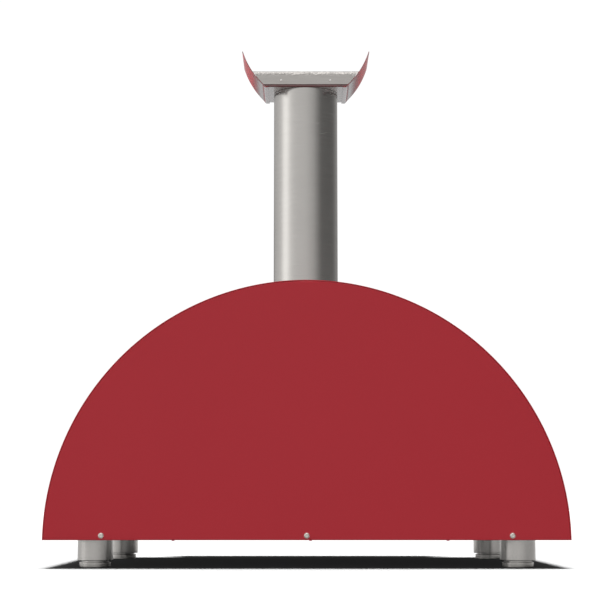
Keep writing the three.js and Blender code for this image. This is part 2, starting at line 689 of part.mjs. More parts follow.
function thermometerCase() {
  const inner = DIAL_RADIUS + GAP;
  return onFrontPanel(
    turned([
      [0, -STEM_LENGTH],
      [STEM_RADIUS, -STEM_LENGTH],
      [STEM_RADIUS, 0],
      [DIAL_CASE_RADIUS, 0],
      [DIAL_CASE_RADIUS, DIAL_CASE_DEPTH],
      [inner - DIAL_LIP, DIAL_CASE_DEPTH],
      [inner - DIAL_LIP, DIAL_CASE_DEPTH - DIAL_LIP],
      [inner, DIAL_CASE_DEPTH - DIAL_LIP],
      [inner, DIAL_FLOOR],
      [0, DIAL_FLOOR],
    ], TURNED_STEPS),
  );
}

function thermometerDial() {
  const hole = NEEDLE_SHAFT_RADIUS + GAP;
  return onFrontPanel(pipe(hole, DIAL_RADIUS, DIAL_FLOOR + GAP, DIAL_TOP, TURNED_STEPS));
}

function thermometerGlass() {
  return onFrontPanel(rod(DIAL_RADIUS, GLASS_BACK, GLASS_BACK + DIAL_GLASS_THICKNESS, TURNED_STEPS));
}

function thermometerNeedle() {
  const pointer = new THREE.Shape();
  pointer.moveTo(-NEEDLE_TIP_HALF_WIDTH, NEEDLE_LENGTH);
  pointer.lineTo(-NEEDLE_HALF_WIDTH, -NEEDLE_TAIL);
  pointer.lineTo(NEEDLE_HALF_WIDTH, -NEEDLE_TAIL);
  pointer.lineTo(NEEDLE_TIP_HALF_WIDTH, NEEDLE_LENGTH);
  pointer.closePath();
  const back = DIAL_TOP + NEEDLE_ABOVE_DIAL;
  const blade = slab(pointer, -back, NEEDLE_THICKNESS);
  const hub = facingFront(rod(NEEDLE_HUB_RADIUS, back, back + NEEDLE_HUB_HEIGHT));
  const shaft = facingFront(rod(NEEDLE_SHAFT_RADIUS, DIAL_FLOOR + GAP, back + NEEDLE_THICKNESS));
  return join(blade, hub, shaft).rotateY(NEEDLE_REST).translate(0, DIAL_BACK_Y, DIAL_Z);
}

// ---- Flue ----

// A solid bar about the barrel's centre, as long as the body.
function barrelCore(radius) {
  return slab(segmentOutline(radius, ARC_CENTRE_Z), 0, BODY_DEPTH);
}

function flueSpigot() {
  const inner = SPIGOT_RADIUS - SPIGOT_WALL;
  const top = VAULT_TOP_Z + SPIGOT_RISE;
  const beadTop = SPIGOT_BEAD_Z + SPIGOT_BEAD_HEIGHT;
  const sleeve = turned([
    [inner, VAULT_TOP_Z - SPIGOT_BEAD_RISE],
    [SPIGOT_RADIUS, VAULT_TOP_Z - SPIGOT_BEAD_RISE],
    [SPIGOT_RADIUS, SPIGOT_BEAD_Z],
    [FLUE_RADIUS, SPIGOT_BEAD_Z],
    [FLUE_RADIUS, beadTop],
    [SPIGOT_RADIUS, beadTop],
    [SPIGOT_RADIUS, top],
    [inner, top],
    [inner, VAULT_TOP_Z - SPIGOT_BEAD_RISE],
  ]).translate(0, FLUE_Y, 0);
  return cut(sleeve, barrelCore(VAULT_OUTER + GAP));
}

function flueCollar() {
  const top = ARC_CENTRE_Z + BODY_RADIUS + COLLAR_RISE;
  const foot = BODY_RADIUS + GAP;
  const saddle = slab(bandOutline(foot, foot + COLLAR_WALL, BODY_BASE_Z), 0, BODY_DEPTH);
  const [disc, sleeve, bore] = [COLLAR_RADIUS, FLUE_HOLE_RADIUS + COLLAR_WALL, FLUE_HOLE_RADIUS].map((radius) => {
    return rod(radius, ARC_CENTRE_Z, top, ROUND_STEPS).translate(0, FLUE_Y, 0);
  });
  return cut(join(common(saddle, disc), cut(sleeve, barrelCore(foot))), bore);
}

function fluePipe() {
  return pipe(FLUE_RADIUS - FLUE_WALL, FLUE_RADIUS, FLUE_BOTTOM_Z, FLUE_TOP_Z).translate(0, FLUE_Y, 0);
}

// ---- Flue cap ----

// Centre of the wing's arc, from its two ends and its radius.
function wingCentre() {
  const chord = Math.hypot(WING_SPAN, WING_RISE);
  const reach = Math.sqrt(WING_RADIUS ** 2 - (chord / 2) ** 2);
  return {
    x: CAP_HALF_WIDTH + WING_SPAN / 2 - (reach * WING_RISE) / chord,
    z: FLUE_TOP_Z + WING_RISE / 2 + (reach * WING_SPAN) / chord,
  };
}

// The wing's inner face at a height.
function wingInnerX(z) {
  const centre = wingCentre();
  return centre.x + Math.sqrt((WING_RADIUS - CAP_WALL) ** 2 - (z - centre.z) ** 2);
}

// The right wing: a flange under the flat bottom, a crease, and a blade that curves up and out.
function capWing() {
  const centre = wingCentre();
  const start = Math.atan2(FLUE_TOP_Z - centre.z, CAP_HALF_WIDTH - centre.x);
  const end = Math.atan2(FLUE_TOP_Z + WING_RISE - centre.z, CAP_HALF_WIDTH + WING_SPAN - centre.x);
  const innerStart = Math.asin((FLUE_TOP_Z - centre.z) / (WING_RADIUS - CAP_WALL));
  const outline = new THREE.Shape();
  outline.moveTo(CAP_HALF_WIDTH - WING_FLANGE, FLUE_TOP_Z);
  outline.lineTo(CAP_HALF_WIDTH - WING_FLANGE, FLUE_TOP_Z - CAP_WALL);
  outline.lineTo(CAP_HALF_WIDTH, FLUE_TOP_Z - CAP_WALL);
  outline.absarc(centre.x, centre.z, WING_RADIUS, start, end, false);
  outline.absarc(centre.x, centre.z, WING_RADIUS - CAP_WALL, end, innerStart, true);
  outline.closePath();
  return slab(outline, FLUE_Y + CAP_HALF_DEPTH, 2 * CAP_HALF_DEPTH, WING_STEPS);
}

function rivetHole(x) {
  const radius = RIVET_SHANK_RADIUS + RIVET_CLEARANCE;
  return facingFront(rod(radius, -2 * CAP_HALF_DEPTH, 2 * CAP_HALF_DEPTH)).translate(x, FLUE_Y, RIVET_Z);
}

function capBasePlate() {
  const halfWidth = wingInnerX(CAP_PLATE_Z) - 2 * GAP;
  const top = CAP_PLATE_Z + CAP_WALL;
  const plate = block([-halfWidth, -UPSTAND_Y, CAP_PLATE_Z], [halfWidth, UPSTAND_Y, top]);
  const half = halfWidth - WING_FLANGE;
  const upstandTop = CAP_PLATE_Z + CAP_UPSTAND;
  const upstands = [-UPSTAND_Y, UPSTAND_Y - CAP_WALL].map((y) => {
    return block([-half, y, CAP_PLATE_Z], [half, y + CAP_WALL, upstandTop]);
  });
  const outer = FLUE_RADIUS - FLUE_WALL - GAP;
  const spigot = rod(outer, FLUE_TOP_Z - CAP_SPIGOT_DEPTH, top, ROUND_STEPS);
  const bore = rod(outer - CAP_WALL, FLUE_TOP_Z - 2 * CAP_SPIGOT_DEPTH, upstandTop, ROUND_STEPS);
  const solid = cut(join(plate, spigot, ...upstands), bore).translate(0, FLUE_Y, 0);
  return cut(solid, rivetHole(-RIVET_X), rivetHole(RIVET_X));
}

function capHood() {
  const bottom = FLUE_TOP_Z + HOOD_BOTTOM_RISE;
  const top = FLUE_TOP_Z + HOOD_TOP_RISE;
  const rise = (top - bottom) / HOOD_STEPS;
  const heights = Array.from({ length: HOOD_STEPS + 1 }, (_, i) => bottom + i * rise);
  const right = heights.map((z) => new THREE.Vector2(wingInnerX(z) - HOOD_WING_CLEARANCE, z));
  const left = right.map((point) => new THREE.Vector2(-point.x, point.y)).reverse();
  const outline = new THREE.Shape([...right, ...left]);
  const skirts = [CAP_HALF_DEPTH, CAP_WALL - CAP_HALF_DEPTH].map((y) => {
    return slab(outline, FLUE_Y + y, CAP_WALL);
  });
  const lid = block(
    [-LID_HALF_WIDTH, FLUE_Y - CAP_HALF_DEPTH, top - CAP_WALL],
    [LID_HALF_WIDTH, FLUE_Y + CAP_HALF_DEPTH, top],
  );
  return cut(join(lid, ...skirts), rivetHole(-RIVET_X), rivetHole(RIVET_X));
}

// A set rivet along Z, with its head outside the skirt and its tail inside the upstand.
function capRivet() {
  const grip = -2 * CAP_WALL - 2 * GAP;
  const profile = [
    [0, grip - RIVET_HEAD_HEIGHT],
    [RIVET_TAIL_RADIUS, grip - RIVET_HEAD_HEIGHT],
    [RIVET_TAIL_RADIUS, grip],
    [RIVET_SHANK_RADIUS, grip],
    [RIVET_SHANK_RADIUS, GAP],
    [RIVET_HEAD_RADIUS, GAP],
    [RIVET_CROWN_RADIUS, GAP + RIVET_HEAD_HEIGHT],
    [0, GAP + RIVET_HEAD_HEIGHT],
  ];
  return facingFront(turned(profile, SMALL_STEPS));
}

// ---- Finishes ----

const RED_PAINT = { color: 0x9e3037, roughness: 0.45, metalness: 0 };
const BRUSHED_STEEL = { color: 0xb4b1ae, roughness: 0.35, metalness: 1 };
const BRIGHT_STEEL = { color: 0xc4c2bf, roughness: 0.25, metalness: 1 };
const DARK_STEEL = { color: 0x4a4644, roughness: 0.6, metalness: 1 };
const FIRE_TILE = { color: 0xc9b79a, roughness: 0.95, metalness: 0 };
const FIBRE = { color: 0xe9e6df, roughness: 1, metalness: 0 };
const ASH_WOOD = { color: 0x8a5a34, roughness: 0.6, metalness: 0 };
const ENAMEL = { color: 0xf2f0ea, roughness: 0.4, metalness: 0 };
const GLASS = { color: 0xffffff, roughness: 0.05, metalness: 0, transparent: true, opacity: 0.3 };

function piece(name, geometry, finish) {
  const mesh = new THREE.Mesh(geometry, new THREE.MeshStandardMaterial(finish));
  mesh.name = name;
  return mesh;
}

function placed(mesh, x, y, z) {
  mesh.position.set(x, y, z);
  return mesh;
}

// ---- Assemblies ----

function bodyGroup() {
  const group = new THREE.Group();
  group.add(
    piece("base_tray", baseTray(), DARK_STEEL),
    piece("outer_shell", outerShell(), RED_PAINT),
    piece("rear_panel", rearPanel(), RED_PAINT),
    piece("front_panel", frontPanel(), BRUSHED_STEEL),
    piece("landing_shelf", landingShelf(), BRUSHED_STEEL),
  );
  const rearScrews = { left: SCREW_SIDE_X, centre: 0, right: -SCREW_SIDE_X };
  for (const [side, x] of Object.entries(rearScrews)) {
    group.add(placed(piece(`rear_screw_${side}`, rearScrew(), BRIGHT_STEEL), x, 0, SCREW_Z));
  }
  for (const [side, sign] of [["left", -1], ["right", 1]]) {
    const low = piece(`front_screw_${side}`, frontScrew(), BRIGHT_STEEL);
    const high = piece(`shelf_screw_${side}`, frontScrew(), BRIGHT_STEEL);
    group.add(placed(low, sign * SCREW_SIDE_X, FRONT_Y, SCREW_Z));
    group.add(placed(high, sign * SHELF_SCREW_X, FRONT_Y - GAP - SHELF_WALL, SHELF_SCREW_Z));
  }
  return group;
}

function feetGroup() {
  const group = new THREE.Group();
  for (const [end, y] of [["front", FRONT_Y + FOOT_INSET], ["rear", -FOOT_INSET]]) {
    for (const [side, x] of [["left", -FOOT_X], ["right", FOOT_X]]) {
      group.add(placed(piece(`foot_tube_${end}_${side}`, footTube(), BRUSHED_STEEL), x, y, 0));
      group.add(placed(piece(`foot_pad_${end}_${side}`, footPad(), BRUSHED_STEEL), x, y, 0));
    }
  }
  return group;
}

function chamberGroup() {
  const group = new THREE.Group();
  group.add(
    piece("floor_insulation", floorInsulation(), FIBRE),
    piece("inner_vault", innerVault(), BRIGHT_STEEL),
    piece("inner_rear_wall", innerRearWall(), BRIGHT_STEEL),
    piece("inner_front_wall", innerFrontWall(), BRIGHT_STEEL),
    piece("vault_insulation", vaultInsulation(), FIBRE),
    piece("rear_insulation", rearInsulation(), FIBRE),
    piece("front_insulation", frontInsulation(), FIBRE),
    piece("mouth_throat", mouthThroat(), BRIGHT_STEEL),
    piece("ember_guard", emberGuard(), DARK_STEEL),
  );
  for (const [row, end] of ["front", "rear"].entries()) {
    for (const [column, side] of ["left", "right"].entries()) {
      group.add(piece(`floor_tile_${end}_${side}`, floorTile(column, row), FIRE_TILE));
    }
  }
  return group;
}

function doorGroup() {
  const group = new THREE.Group();
  group.add(
    piece("door_outer_skin", doorOuterSkin(), BRUSHED_STEEL),
    piece("door_insulation", doorInsulation(), FIBRE),
    piece("door_inner_skin", doorInnerSkin(), BRIGHT_STEEL),
    piece("door_handle_bar", handleBar(), ASH_WOOD),
    piece("door_handle_post_left", handlePost(-HANDLE_POST_X), BRIGHT_STEEL),
    piece("door_handle_post_right", handlePost(HANDLE_POST_X), BRIGHT_STEEL),
  );
  for (const [i, level] of ["lower", "upper"].entries()) {
    group.add(piece(`hinge_bracket_${level}`, hingeBracket(HINGE_RISES[i]), BRIGHT_STEEL));
    group.add(piece(`hinge_strap_${level}`, hingeStrap(HINGE_RISES[i]), BRIGHT_STEEL));
  }
  return group;
}

function thermometerGroup() {
  const group = new THREE.Group();
  group.add(
    piece("thermometer_case", thermometerCase(), BRIGHT_STEEL),
    piece("thermometer_dial", thermometerDial(), ENAMEL),
    piece("thermometer_glass", thermometerGlass(), GLASS),
    piece("thermometer_needle", thermometerNeedle(), DARK_STEEL),
  );
  return group;
}

function flueGroup() {
  const group = new THREE.Group();
  const leftWing = capWing().rotateZ(Math.PI).translate(0, 2 * FLUE_Y, 0);
  group.add(
    piece("flue_spigot", flueSpigot(), BRIGHT_STEEL),
    piece("flue_collar", flueCollar(), BRUSHED_STEEL),
    piece("flue_pipe", fluePipe(), BRUSHED_STEEL),
    piece("cap_base_plate", capBasePlate(), RED_PAINT),
    piece("cap_wing_left", leftWing, RED_PAINT),
    piece("cap_wing_right", capWing(), RED_PAINT),
    piece("cap_hood", capHood(), BRUSHED_STEEL),
  );
  for (const [end, sign] of [["front", -1], ["rear", 1]]) {
    for (const [side, x] of [["left", -RIVET_X], ["right", RIVET_X]]) {
      const rivet = piece(`cap_rivet_${end}_${side}`, capRivet(), BRIGHT_STEEL);
      rivet.rotation.z = sign > 0 ? Math.PI : 0;
      group.add(placed(rivet, x, FLUE_Y + sign * CAP_HALF_DEPTH, RIVET_Z));
    }
  }
  return group;
}

const oven = new THREE.Group();
oven.add(bodyGroup(), feetGroup(), chamberGroup(), doorGroup(), thermometerGroup(), flueGroup());

// The footprint runs from the front of the landing shelf to the rear screws' heads.
const FRONTMOST_Y = FRONT_Y - GAP - SHELF_DEPTH;
const REARMOST_Y = GAP + SCREW_HEAD_HEIGHT;
oven.position.y = -(FRONTMOST_Y + REARMOST_Y) / 2;

export default oven;
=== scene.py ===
import json
import math

import bmesh
import bpy
from mathutils import Matrix, Vector


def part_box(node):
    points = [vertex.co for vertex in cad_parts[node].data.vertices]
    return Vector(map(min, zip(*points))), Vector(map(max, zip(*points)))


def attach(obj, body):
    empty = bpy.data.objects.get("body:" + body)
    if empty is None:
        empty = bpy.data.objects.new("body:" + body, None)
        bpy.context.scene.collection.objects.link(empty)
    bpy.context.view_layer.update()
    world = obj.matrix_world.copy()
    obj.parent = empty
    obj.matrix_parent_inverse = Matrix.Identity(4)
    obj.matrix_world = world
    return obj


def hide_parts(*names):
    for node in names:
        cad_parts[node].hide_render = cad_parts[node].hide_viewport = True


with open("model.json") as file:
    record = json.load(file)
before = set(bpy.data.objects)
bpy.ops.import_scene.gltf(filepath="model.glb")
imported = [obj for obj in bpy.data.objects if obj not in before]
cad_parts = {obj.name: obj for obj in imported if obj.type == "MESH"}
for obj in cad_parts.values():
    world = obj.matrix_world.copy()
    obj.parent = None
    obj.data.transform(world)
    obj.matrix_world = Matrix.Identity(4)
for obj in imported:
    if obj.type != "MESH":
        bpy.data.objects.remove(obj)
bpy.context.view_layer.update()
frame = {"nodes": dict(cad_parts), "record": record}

MM = 0.001

# ---- Colour ----


def linear(code):
    """An sRGB hex colour as linear red, green, blue and alpha."""
    channels = [int(code[i : i + 2], 16) / 255 for i in (1, 3, 5)]
    return (*[c / 12.92 if c <= 0.04045 else ((c + 0.055) / 1.055) ** 2.4 for c in channels], 1.0)


def grey(value):
    return (value, value, value, 1.0)


# ---- Camera: 100 mm lens, low and level with the body's underside, looking slightly up at the rear ----

CAMERA_LENS = 100
CAMERA_SENSOR = 36
CAMERA_HEIGHT = 0.1199
CAMERA_BACK = 3.1131  # from the rear face of the body
CAMERA_SIDE = 0.0125
CAMERA_PITCH = 0.1215


def make_camera():
    data = bpy.data.cameras.new("camera")
    data.lens = CAMERA_LENS
    data.sensor_width = CAMERA_SENSOR
    camera = bpy.data.objects.new("camera", data)
    bpy.context.scene.collection.objects.link(camera)
    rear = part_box("rear_panel")[1].y
    camera.location = (CAMERA_SIDE, rear + CAMERA_BACK, CAMERA_HEIGHT)
    camera.rotation_euler = (math.pi / 2 + CAMERA_PITCH, 0, math.pi)
    bpy.context.scene.camera = camera


# ---- Shader nodes ----


def add(tree, kind, settings=None, links=None):
    """Adds a node, applies its settings, and fills its inputs with values or with other nodes.

    The setting "stops" is a colour ramp's (position, colour) pairs. A node given as an input
    passes its first output in use; a socket passes itself.
    """
    made = tree.nodes.new(kind)
    for name, value in (settings or {}).items():
        if name == "stops":
            elements = made.color_ramp.elements
            while len(elements) < len(value):
                elements.new(1.0)
            for element, (position, colour) in zip(elements, value):
                element.position = position
                element.color = colour
        else:
            setattr(made, name, value)
    for name, value in (links or {}).items():
        socket = made.inputs[name]
        if isinstance(value, bpy.types.Node):
            value = next(output for output in value.outputs if output.enabled)
        if isinstance(value, bpy.types.NodeSocket):
            tree.links.new(value, socket)
        else:
            socket.default_value = value
    return made


MIX = {"data_type": "RGBA"}
MULTIPLY = {"data_type": "RGBA", "blend_type": "MULTIPLY"}


def grey_stops(*stops):
    """A colour ramp's settings, from (position, grey value) pairs."""
    return {"stops": [(at, grey(value)) for at, value in stops]}


def hex_stops(*stops):
    """A colour ramp's settings, from (position, sRGB hex colour) pairs."""
    return {"stops": [(at, linear(code)) for at, code in stops]}


def two_tone(share, first, second):
    """A colour mix's inputs, for two sRGB hex colours."""
    return {0: share, 6: linear(first), 7: linear(second)}


def between(value, low, high):
    """A map range's inputs, for what runs from low to high as a pattern does from 0 to 1."""
    return {"Value": value, "To Min": low, "To Max": high}


def pattern(tree, *sizes):
    """A texture's inputs, for a pattern's size in millimetres: one size, or one for each axis."""
    where = add(tree, "ShaderNodeTexCoord").outputs["Object"]
    scale = [1 / (size * MM) for size in (sizes if len(sizes) == 3 else sizes * 3)]
    return {"Vector": add(tree, "ShaderNodeMapping", None, {"Vector": where, "Scale": scale}), "Scale": 1.0}


def finish(name, constants, build):
    """A material with one Principled shader. build(tree) gives the inputs that vary over the surface."""
    material = bpy.data.materials.new(name)
    material.use_nodes = True
    tree = material.node_tree
    tree.nodes.clear()
    shader = add(tree, "ShaderNodeBsdfPrincipled", None, {**constants, **build(tree)})
    add(tree, "ShaderNodeOutputMaterial", None, {"Surface": shader})
    return material


# ---- Finishes ----


def powder_coat(name, colours, coats, fine_depth, peel_depth):
    """Polyester powder coat baked on sheet steel, under a clear coat, with a soft orange peel.

    Colours and coats are ramps over the face's slope, from facing down (0) to facing up (1); where the colour
    changes with slope, it is painted shade and painted reflection.
    """

    def build(tree):
        tone = add(tree, "ShaderNodeTexNoise", None, {**pattern(tree, 170), "Detail": 3.0})
        peel = add(tree, "ShaderNodeTexNoise", None, pattern(tree, 2.4))
        grain = add(tree, "ShaderNodeTexNoise", None, pattern(tree, 0.7))
        normal = add(tree, "ShaderNodeNewGeometry").outputs["Normal"]
        facing = add(tree, "ShaderNodeSeparateXYZ", None, {"Vector": normal}).outputs["Z"]
        slope = add(tree, "ShaderNodeMapRange", None, {"Value": facing, "From Min": -1.0, "From Max": 1.0})
        # Colour by slope: where it changes, it paints shade on faces that look down and a reflection on
        # upright ones.
        shade = add(tree, "ShaderNodeValToRGB", hex_stops(*colours), {"Fac": slope})
        patch = add(tree, "ShaderNodeValToRGB", grey_stops((0.0, 0.96), (1.0, 1.0)), {"Fac": tone})
        specks = grey_stops((0.30, 0.90), (0.55, 1.0), (0.78, 1.04))
        speck = add(tree, "ShaderNodeValToRGB", specks, {"Fac": grain})
        mottle = add(tree, "ShaderNodeMix", MULTIPLY, {0: 1.0, 6: patch, 7: speck})
        fine = {"Height": grain, "Strength": fine_depth, "Distance": 0.3 * MM}
        soft = {"Height": peel, "Strength": peel_depth, "Distance": 0.4 * MM}
        return {
            "Base Color": add(tree, "ShaderNodeMix", MULTIPLY, {0: 1.0, 6: shade, 7: mottle}),
            "Roughness": add(tree, "ShaderNodeMapRange", None, between(peel, 0.40, 0.50)),
            "Coat Weight": add(tree, "ShaderNodeValToRGB", grey_stops(*coats), {"Fac": slope}),
            "Normal": add(tree, "ShaderNodeBump", None, fine),
            "Coat Normal": add(tree, "ShaderNodeBump", None, soft),
        }

    return finish(name, {"Specular IOR Level": 0.1, "Coat Roughness": 0.11}, build)


def brushed(name, sizes, light, dark, low, high):
    """Stainless steel with a belt-ground grain, long one way and fine across it."""

    def build(tree):
        fibres = {**pattern(tree, *sizes), "Detail": 4.0, "Roughness": 0.65}
        grain = add(tree, "ShaderNodeTexNoise", None, fibres)
        cloud = add(tree, "ShaderNodeTexNoise", None, {**pattern(tree, 110), "Detail": 3.0})
        colour = add(tree, "ShaderNodeMix", MIX, two_tone(grain, dark, light))
        smudge = add(tree, "ShaderNodeValToRGB", grey_stops((0.25, 0.94), (0.75, 1.0)), {"Fac": cloud})
        bumps = {"Height": grain, "Strength": 0.12, "Distance": 0.2 * MM}
        return {
            "Base Color": add(tree, "ShaderNodeMix", MULTIPLY, {0: 1.0, 6: colour, 7: smudge}),
            "Roughness": add(tree, "ShaderNodeMapRange", None, between(grain, low, high)),
            "Normal": add(tree, "ShaderNodeBump", None, bumps),
        }

    return finish(name, {"Metallic": 1.0}, build)


def hood_steel():
    """Stainless sheet hand-rolled at its top edge: dents 6 mm across break up the reflection there."""
    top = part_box("cap_hood")[1].z

    def build(tree):
        grain = add(tree, "ShaderNodeTexNoise", None, {**pattern(tree, 45, 3.5, 3.5), "Detail": 4.0})
        dents = add(tree, "ShaderNodeTexNoise", None, {**pattern(tree, 6), "Detail": 2.0})
        where = add(tree, "ShaderNodeTexCoord").outputs["Object"]
        height = add(tree, "ShaderNodeSeparateXYZ", None, {"Vector": where}).outputs["Z"]
        # The dents run over the top 13 mm and leave the lid smooth.
        reach = {"Value": height, "From Min": top - 13 * MM, "From Max": top}
        share = add(tree, "ShaderNodeMapRange", None, reach)
        rolls = grey_stops((0.0, 0.0), (0.5, 1.0), (0.88, 1.0), (0.97, 0.05))
        rolled = add(tree, "ShaderNodeValToRGB", rolls, {"Fac": share})
        fine = {"Height": grain, "Strength": 0.1, "Distance": 0.2 * MM}
        dented = {"Height": dents, "Strength": rolled, "Distance": 3.0 * MM}
        dented["Normal"] = add(tree, "ShaderNodeBump", None, fine)
        return {
            "Base Color": add(tree, "ShaderNodeMix", MIX, two_tone(grain, "#b1ada9", "#c3bfbb")),
            "Roughness": add(tree, "ShaderNodeMapRange", None, between(grain, 0.28, 0.4)),
            "Normal": add(tree, "ShaderNodeBump", None, dented),
        }

    return finish("hood_steel", {"Metallic": 1.0}, build)


def chamber_steel():
    """Stainless steel tinted straw and brown by the fire, with a grain 1 mm wide."""

    def build(tree):
        grain = add(tree, "ShaderNodeTexNoise", None, {**pattern(tree, 33, 1.1, 1.1), "Detail": 4.0})
        cloud = add(tree, "ShaderNodeTexNoise", None, {**pattern(tree, 140), "Detail": 5.0})
        tints = hex_stops((0.30, "#8f8578"), (0.45, "#a38a63"), (0.58, "#7d6a5c"), (0.72, "#5d5a60"))
        tint = add(tree, "ShaderNodeValToRGB", tints, {"Fac": cloud})
        streak = add(tree, "ShaderNodeMapRange", None, {"Value": grain, "To Max": 0.35})
        bumps = {"Height": grain, "Strength": 0.12, "Distance": 0.3 * MM}
        return {
            "Base Color": add(tree, "ShaderNodeMix", MIX, {0: streak, 6: tint, 7: linear("#b9b2a8")}),
            "Roughness": add(tree, "ShaderNodeMapRange", None, between(cloud, 0.32, 0.55)),
            "Normal": add(tree, "ShaderNodeBump", None, bumps),
        }

    return finish("chamber_steel", {"Metallic": 1.0}, build)


def fire_clay():
    """Pressed refractory clay: cream, with 4 mm grog, pores 1.4 mm across and a scorch a hand wide."""

    def build(tree):
        grog = add(tree, "ShaderNodeTexVoronoi", None, pattern(tree, 4))
        pores = add(tree, "ShaderNodeTexNoise", None, {**pattern(tree, 1.4), "Detail": 3.0})
        cloud = add(tree, "ShaderNodeTexNoise", None, {**pattern(tree, 110), "Detail": 4.0})
        scorch = add(tree, "ShaderNodeValToRGB", grey_stops((0.45, 0), (0.75, 0.75)), {"Fac": cloud})
        body = add(tree, "ShaderNodeMix", MIX, two_tone(grog, "#c9b48d", "#b79e76"))
        pits = {"Height": pores, "Strength": 0.5, "Distance": 0.6 * MM}
        return {
            "Base Color": add(tree, "ShaderNodeMix", MIX, {0: scorch, 6: body, 7: linear("#6e5f50")}),
            "Roughness": add(tree, "ShaderNodeMapRange", None, between(pores, 0.85, 0.98)),
            "Normal": add(tree, "ShaderNodeBump", None, pits),
        }

    return finish("fire_clay", {"Specular IOR Level": 0.3}, build)


def ceramic_fibre():
    """Needled alumina-silica blanket: white, matt and woolly, laid in layers under 2 mm thick."""

    def build(tree):
        layers = {**pattern(tree, 6.2, 6.2, 1.7), "Detail": 6.0, "Distortion": 0.6}
        wool = add(tree, "ShaderNodeTexNoise", None, layers)
        tufts = {"Height": wool, "Strength": 0.6, "Distance": 1.0 * MM}
        return {
            "Base Color": add(tree, "ShaderNodeMix", MIX, two_tone(wool, "#dcd6ca", "#f3f0e8")),
            "Roughness": add(tree, "ShaderNodeMapRange", None, between(wool, 0.9, 1.0)),
            "Normal": add(tree, "ShaderNodeBump", None, tufts),
        }

    return finish("ceramic_fibre", {"Specular IOR Level": 0.2}, build)


def galvanised_steel():
    """Hot-dip zinc on sheet steel: crystal spangles 14 mm across."""

    def build(tree):
        spangle = add(tree, "ShaderNodeTexVoronoi", None, pattern(tree, 14))
        flake = add(tree, "ShaderNodeRGBToBW", None, {"Color": spangle.outputs["Color"]})
        bumps = {"Height": flake, "Strength": 0.1, "Distance": 0.3 * MM}
        return {
            "Base Color": add(tree, "ShaderNodeMix", MIX, two_tone(flake, "#8b8e91", "#b2b5b7")),
            "Roughness": add(tree, "ShaderNodeMapRange", None, between(flake, 0.38, 0.6)),
            "Normal": add(tree, "ShaderNodeBump", None, bumps),
        }

    return finish("galvanised_steel", {"Metallic": 1.0}, build)


def black_steel():
    """Hot-rolled steel bar with its mill scale in 4.5 mm flakes, oiled."""

    def build(tree):
        scale = add(tree, "ShaderNodeTexNoise", None, {**pattern(tree, 4.5), "Detail": 5.0})
        flakes = {"Height": scale, "Strength": 0.3, "Distance": 0.4 * MM}
        return {
            "Base Color": add(tree, "ShaderNodeMix", MIX, two_tone(scale, "#191817", "#3a3532")),
            "Roughness": add(tree, "ShaderNodeMapRange", None, between(scale, 0.45, 0.75)),
            "Normal": add(tree, "ShaderNodeBump", None, flakes),
        }

    return finish("black_steel", {"Metallic": 0.6}, build)


def ash_wood():
    """Turned ash, oiled: 7 mm rings drawn out along the bar, with darker open pores 0.5 mm wide."""

    def build(tree):
        bands = {"wave_type": "BANDS", "bands_direction": "Z"}
        growth = {**pattern(tree, 110, 7, 7), "Distortion": 5.0, "Detail": 3.0}
        rings = add(tree, "ShaderNodeTexWave", bands, growth).outputs["Fac"]
        pores = add(tree, "ShaderNodeTexNoise", None, {**pattern(tree, 17, 0.5, 0.5), "Detail": 3.0})
        colour = add(tree, "ShaderNodeMix", MIX, two_tone(rings, "#a9743f", "#7d4d26"))
        dark = add(tree, "ShaderNodeValToRGB", grey_stops((0.32, 0.62), (0.48, 1.0)), {"Fac": pores})
        pits = {"Height": pores, "Strength": 0.25, "Distance": 0.3 * MM}
        return {
            "Base Color": add(tree, "ShaderNodeMix", MULTIPLY, {0: 1.0, 6: colour, 7: dark}),
            "Roughness": add(tree, "ShaderNodeMapRange", None, between(rings, 0.38, 0.5)),
            "Normal": add(tree, "ShaderNodeBump", None, pits),
        }

    return finish("ash_wood", {}, build)


def mottled(name, size, first, second, low, high, constants=None):
    """A smooth finish that wanders slightly between two colours and two roughnesses, over a size in mm."""

    def build(tree):
        mottle = add(tree, "ShaderNodeTexNoise", None, {**pattern(tree, size), "Detail": 3.0})
        return {
            "Base Color": add(tree, "ShaderNodeMix", MIX, two_tone(mottle, first, second)),
            "Roughness": add(tree, "ShaderNodeMapRange", None, between(mottle, low, high)),
        }

    return finish(name, constants or {}, build)


